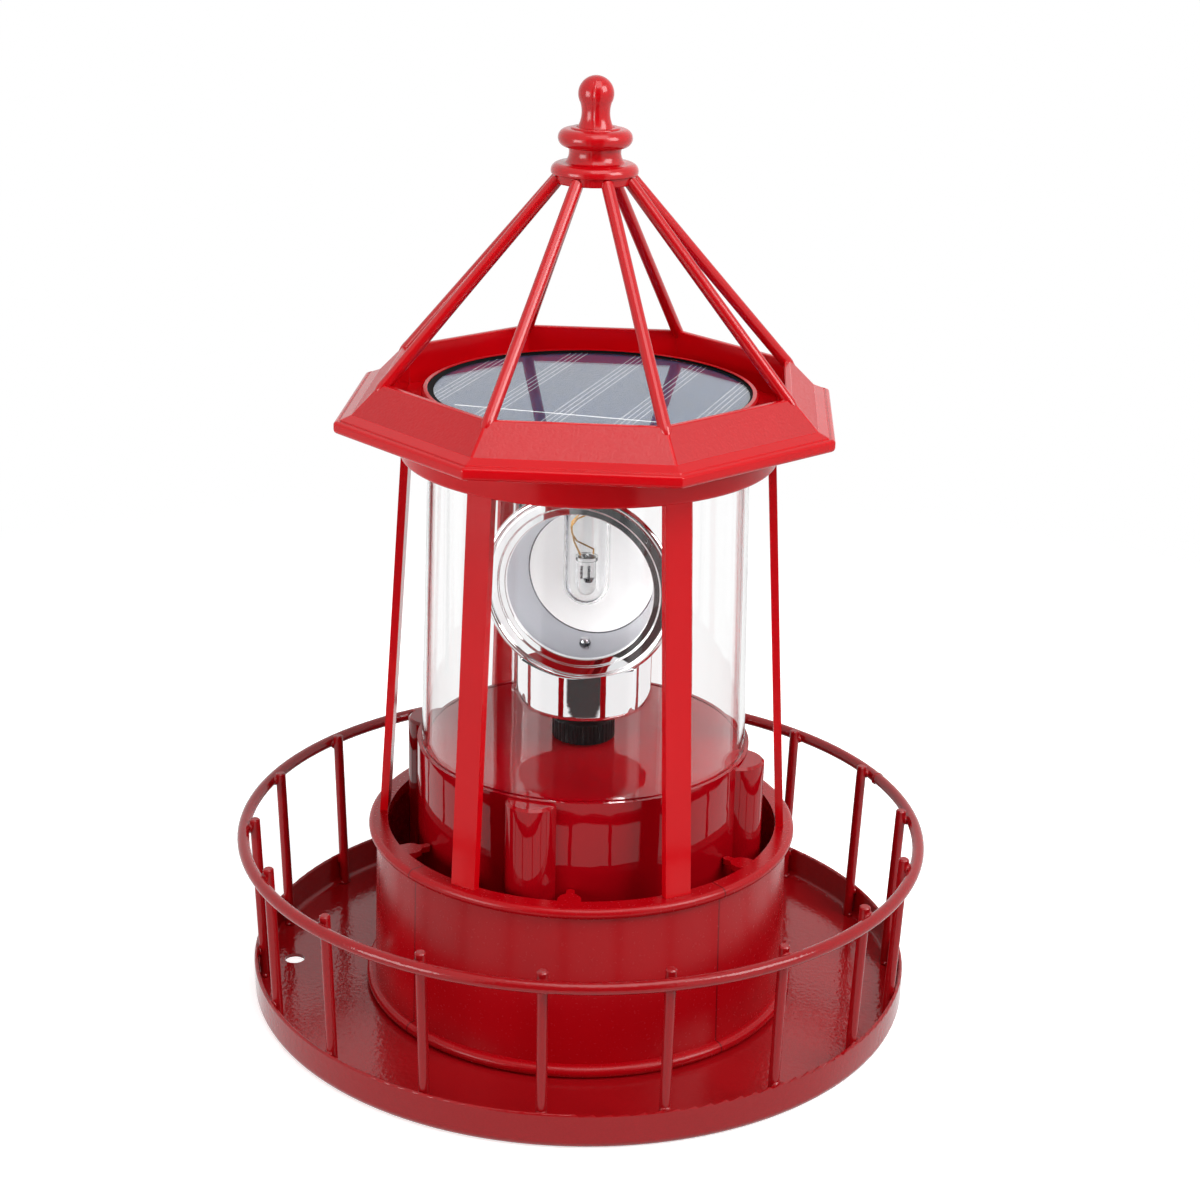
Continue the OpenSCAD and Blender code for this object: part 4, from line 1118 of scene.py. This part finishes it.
def railingWelds():
    # three beads at each post, at the tray's floor, the rim and the ring, and the ring's joint
    bm = bmesh.new()
    for k in range(weld["posts"]):
        angle = weld["turn"] + 360 / weld["posts"] * k
        facing = Matrix.Rotation(math.radians(angle), 4, "Z")
        rimZ = weld["rim"][1] + random.uniform(*weld["rimStray"])
        ringZ = weld["ring"][1] + random.uniform(*weld["ringStray"])
        spots = [weld["foot"], (weld["rim"][0], rimZ), (weld["ring"][0], ringZ)]
        sizes = [weld["footSize"], weld["rimSize"], weld["ringSize"]]
        for i, (spot, size) in enumerate(zip(spots, sizes)):
            place = Matrix.Translation(onCircle(angle, *spot)) @ facing
            weldBead(bm, place, size, k + weld["seedStep"] * i)
    facing = Matrix.Rotation(math.radians(weld["butt"][0]), 4, "Z")
    place = Matrix.Translation(onCircle(*weld["butt"])) @ facing
    weldBead(bm, place, weld["buttSize"], weld["buttSeed"])
    finishPiece(
        bm, "railing_welds", "lantern", coatedSteel, sharp=weld["sharp"]
    )


railingWelds()
print("railing done")


def aimCamera():  # looks down at the part from the front, turned by pitch, roll and yaw
    p, r, y = (math.radians(camera[k]) for k in ("pitch", "roll", "yaw"))
    ahead = Vector((math.sin(y) * math.cos(p), math.cos(y) * math.cos(p), -math.sin(p)))
    side = Vector((math.cos(y), -math.sin(y), 0))
    up = side.cross(ahead)
    right = side * math.cos(r) + up * math.sin(r)
    top = up * math.cos(r) - side * math.sin(r)
    lens = bpy.data.cameras.new("camera")
    lens.sensor_width = camera["sensor"]
    lens.lens = camera["lens"]
    lens.clip_start = camera["nearest"] * mm
    eye = bpy.data.objects.new("camera", lens)
    bpy.context.scene.collection.objects.link(eye)
    turn = Matrix((right, top, -ahead)).transposed().to_4x4()
    eye.matrix_world = Matrix.Translation(Vector(camera["place"]) * mm) @ turn
    bpy.context.scene.camera = eye


def softLamp(name, look):  # a square soft box that faces the part's middle
    lamp = bpy.data.lights.new(name, "AREA")
    lamp.size = look["size"]
    lamp.energy = look["power"]
    box = bpy.data.objects.new(name, lamp)
    bpy.context.scene.collection.objects.link(box)
    place = Vector(look["place"])
    turn = (Vector(studio["aim"]) - place).to_track_quat("-Z", "Y").to_matrix().to_4x4()
    box.matrix_world = Matrix.Translation(place) @ turn
    return box


def diodeLamp(look):  # the diode's own faint light, which fills the reflector's bowl
    lamp = bpy.data.lights.new("diode", "POINT")
    lamp.shadow_soft_size = look["size"] * mm
    lamp.energy = look["power"]
    bulb = bpy.data.objects.new("diode", lamp)
    bpy.context.scene.collection.objects.link(bulb)
    bulb.location = Vector(look["place"]) * mm
    bulb.visible_glossy = bulb.visible_transmission = False


def anyOf(tree, *rays):  # 1 for these kinds of ray
    path = addNode(tree, "ShaderNodeLightPath")
    found = path.outputs[rays[0]]
    for ray in rays[1:]:
        both = {0: found, 1: path.outputs[ray]}
        found = addNode(tree, "ShaderNodeMath", {"operation": "MAXIMUM"}, both).outputs[0]
    return found


def darkFront(tree, place, start):
    # the unlit room that mirrors see past the table's front edge, round the camera
    parts = addNode(tree, "ShaderNodeSeparateXYZ", {}, {0: place})
    ahead = addNode(
        tree, "ShaderNodeMath", {"operation": "MULTIPLY", 1: -1.0}, {0: parts.outputs["Y"]}
    )
    near = addNode(
        tree,
        "ShaderNodeMapRange",
        {"interpolation_type": "SMOOTHSTEP", "From Min": start[0], "From Max": start[1]},
        {"Value": ahead.outputs[0]},
    )
    aside = addNode(
        tree,
        "ShaderNodeMath",
        {"operation": "DIVIDE"},
        {0: parts.outputs["X"], 1: ahead.outputs[0]},
    )
    width = addNode(tree, "ShaderNodeMath", {"operation": "ABSOLUTE"}, {0: aside.outputs[0]})
    dark = near
    for reach, source in (("sides", width.outputs[0]), ("above", parts.outputs["Z"])):
        ends = {"From Min": studio[reach][0], "From Max": studio[reach][1]}
        within = addNode(
            tree,
            "ShaderNodeMapRange",
            {"interpolation_type": "SMOOTHSTEP", **ends, "To Min": 1.0, "To Max": 0.0},
            {"Value": source},
        )
        dark = addNode(
            tree,
            "ShaderNodeMath",
            {"operation": "MULTIPLY"},
            {0: dark.outputs[0], 1: within.outputs[0]},
        )
    return addNode(
        tree,
        "ShaderNodeMapRange",
        {"To Min": studio["mirrorWhite"], "To Max": studio["mirrorDark"]},
        {"Value": dark.outputs[0]},
    ).outputs[0]


def studioWorld():
    # white for the eye, a soft grey light, and a tent for mirrors and clear pieces to see
    world = bpy.data.worlds.new("studio")
    bpy.context.scene.world = world
    world.use_nodes = True
    tree = world.node_tree
    tree.nodes.clear()
    ahead = addNode(tree, "ShaderNodeTexCoord").outputs["Generated"]
    mirror = darkFront(tree, ahead, studio["horizon"])
    optics = anyOf(tree, "Is Glossy Ray", "Is Transmission Ray")
    lit = addNode(
        tree, "ShaderNodeMix", {"A": studio["worldLight"]}, {0: optics, "B": mirror}
    )
    eye = anyOf(tree, "Is Camera Ray")
    level = addNode(tree, "ShaderNodeMix", {"B": 1.0}, {0: eye, "A": lit.outputs[0]})
    back = addNode(
        tree, "ShaderNodeBackground", {"Color": (1, 1, 1, 1)}, {"Strength": level.outputs[0]}
    )
    addNode(tree, "ShaderNodeOutputWorld", links={"Surface": back.outputs[0]})


def studioFloor():
    # white paper: the eye sees it lifted to white with a soft shadow, mirrors see the table,
    # and it throws less light back up, as the photograph's low shadows are deep
    bm = bmesh.new()
    bmesh.ops.create_grid(bm, x_segments=1, y_segments=1, size=studio["floorSize"])
    mesh = bpy.data.meshes.new("floor")
    bm.to_mesh(mesh)
    bm.free()
    floor = bpy.data.objects.new("floor", mesh)
    bpy.context.scene.collection.objects.link(floor)
    material = bpy.data.materials.new("white_paper_floor")
    material.use_nodes = True
    tree = material.node_tree
    tree.nodes.clear()
    white = (1, 1, 1, 1)
    place = addNode(tree, "ShaderNodeTexCoord").outputs["Object"]
    eye = anyOf(tree, "Is Camera Ray")
    lift = addNode(tree, "ShaderNodeMath", {"operation": "MULTIPLY", 1: studio["lift"]}, {0: eye})
    shade = addNode(
        tree,
        "ShaderNodeMix",
        {"data_type": "RGBA", 6: linear(studio["bounce"]), 7: linear(studio["floor"])},
        {0: eye},
    )
    paper = addNode(tree, "ShaderNodeBsdfDiffuse", {}, {"Color": shade.outputs[2]})
    glow = addNode(tree, "ShaderNodeEmission", {"Color": white}, {"Strength": lift.outputs[0]})
    lifted = addNode(tree, "ShaderNodeAddShader", {}, {0: paper.outputs[0], 1: glow.outputs[0]})
    away = addNode(tree, "ShaderNodeVectorMath", {"operation": "LENGTH"}, {0: place})
    ends = {"From Min": studio["fade"][0], "From Max": studio["fade"][1]}
    far = addNode(
        tree,
        "ShaderNodeMapRange",
        {"interpolation_type": "SMOOTHSTEP", **ends},
        {"Value": away.outputs["Value"]},
    )
    faded = addNode(tree, "ShaderNodeMath", {"operation": "MULTIPLY"}, {0: eye, 1: far.outputs[0]})
    plain = addNode(tree, "ShaderNodeEmission", {"Color": white, "Strength": 1.0})
    near = addNode(
        tree,
        "ShaderNodeMixShader",
        {},
        {0: faded.outputs[0], 1: lifted.outputs[0], 2: plain.outputs[0]},
    )
    level = darkFront(tree, place, studio["edge"])
    table = addNode(tree, "ShaderNodeEmission", {"Color": white}, {"Strength": level})
    optics = anyOf(tree, "Is Glossy Ray", "Is Transmission Ray")
    both = addNode(
        tree,
        "ShaderNodeMixShader",
        {},
        {0: optics, 1: near.outputs[0], 2: table.outputs[0]},
    )
    addNode(tree, "ShaderNodeOutputMaterial", links={"Surface": both.outputs[0]})
    mesh.materials.append(material)


aimCamera()
for lampName in ("key", "fill", "top"):
    softLamp(lampName, studio[lampName])
for lampName in ("front", "back"):  # these two light the part, and no mirror shows them
    unseen = softLamp(lampName, studio[lampName])
    unseen.visible_glossy = unseen.visible_transmission = False
diodeLamp(studio["diode"])
studioWorld()
studioFloor()
bpy.context.scene.view_settings.view_transform = "Standard"
print("studio done")
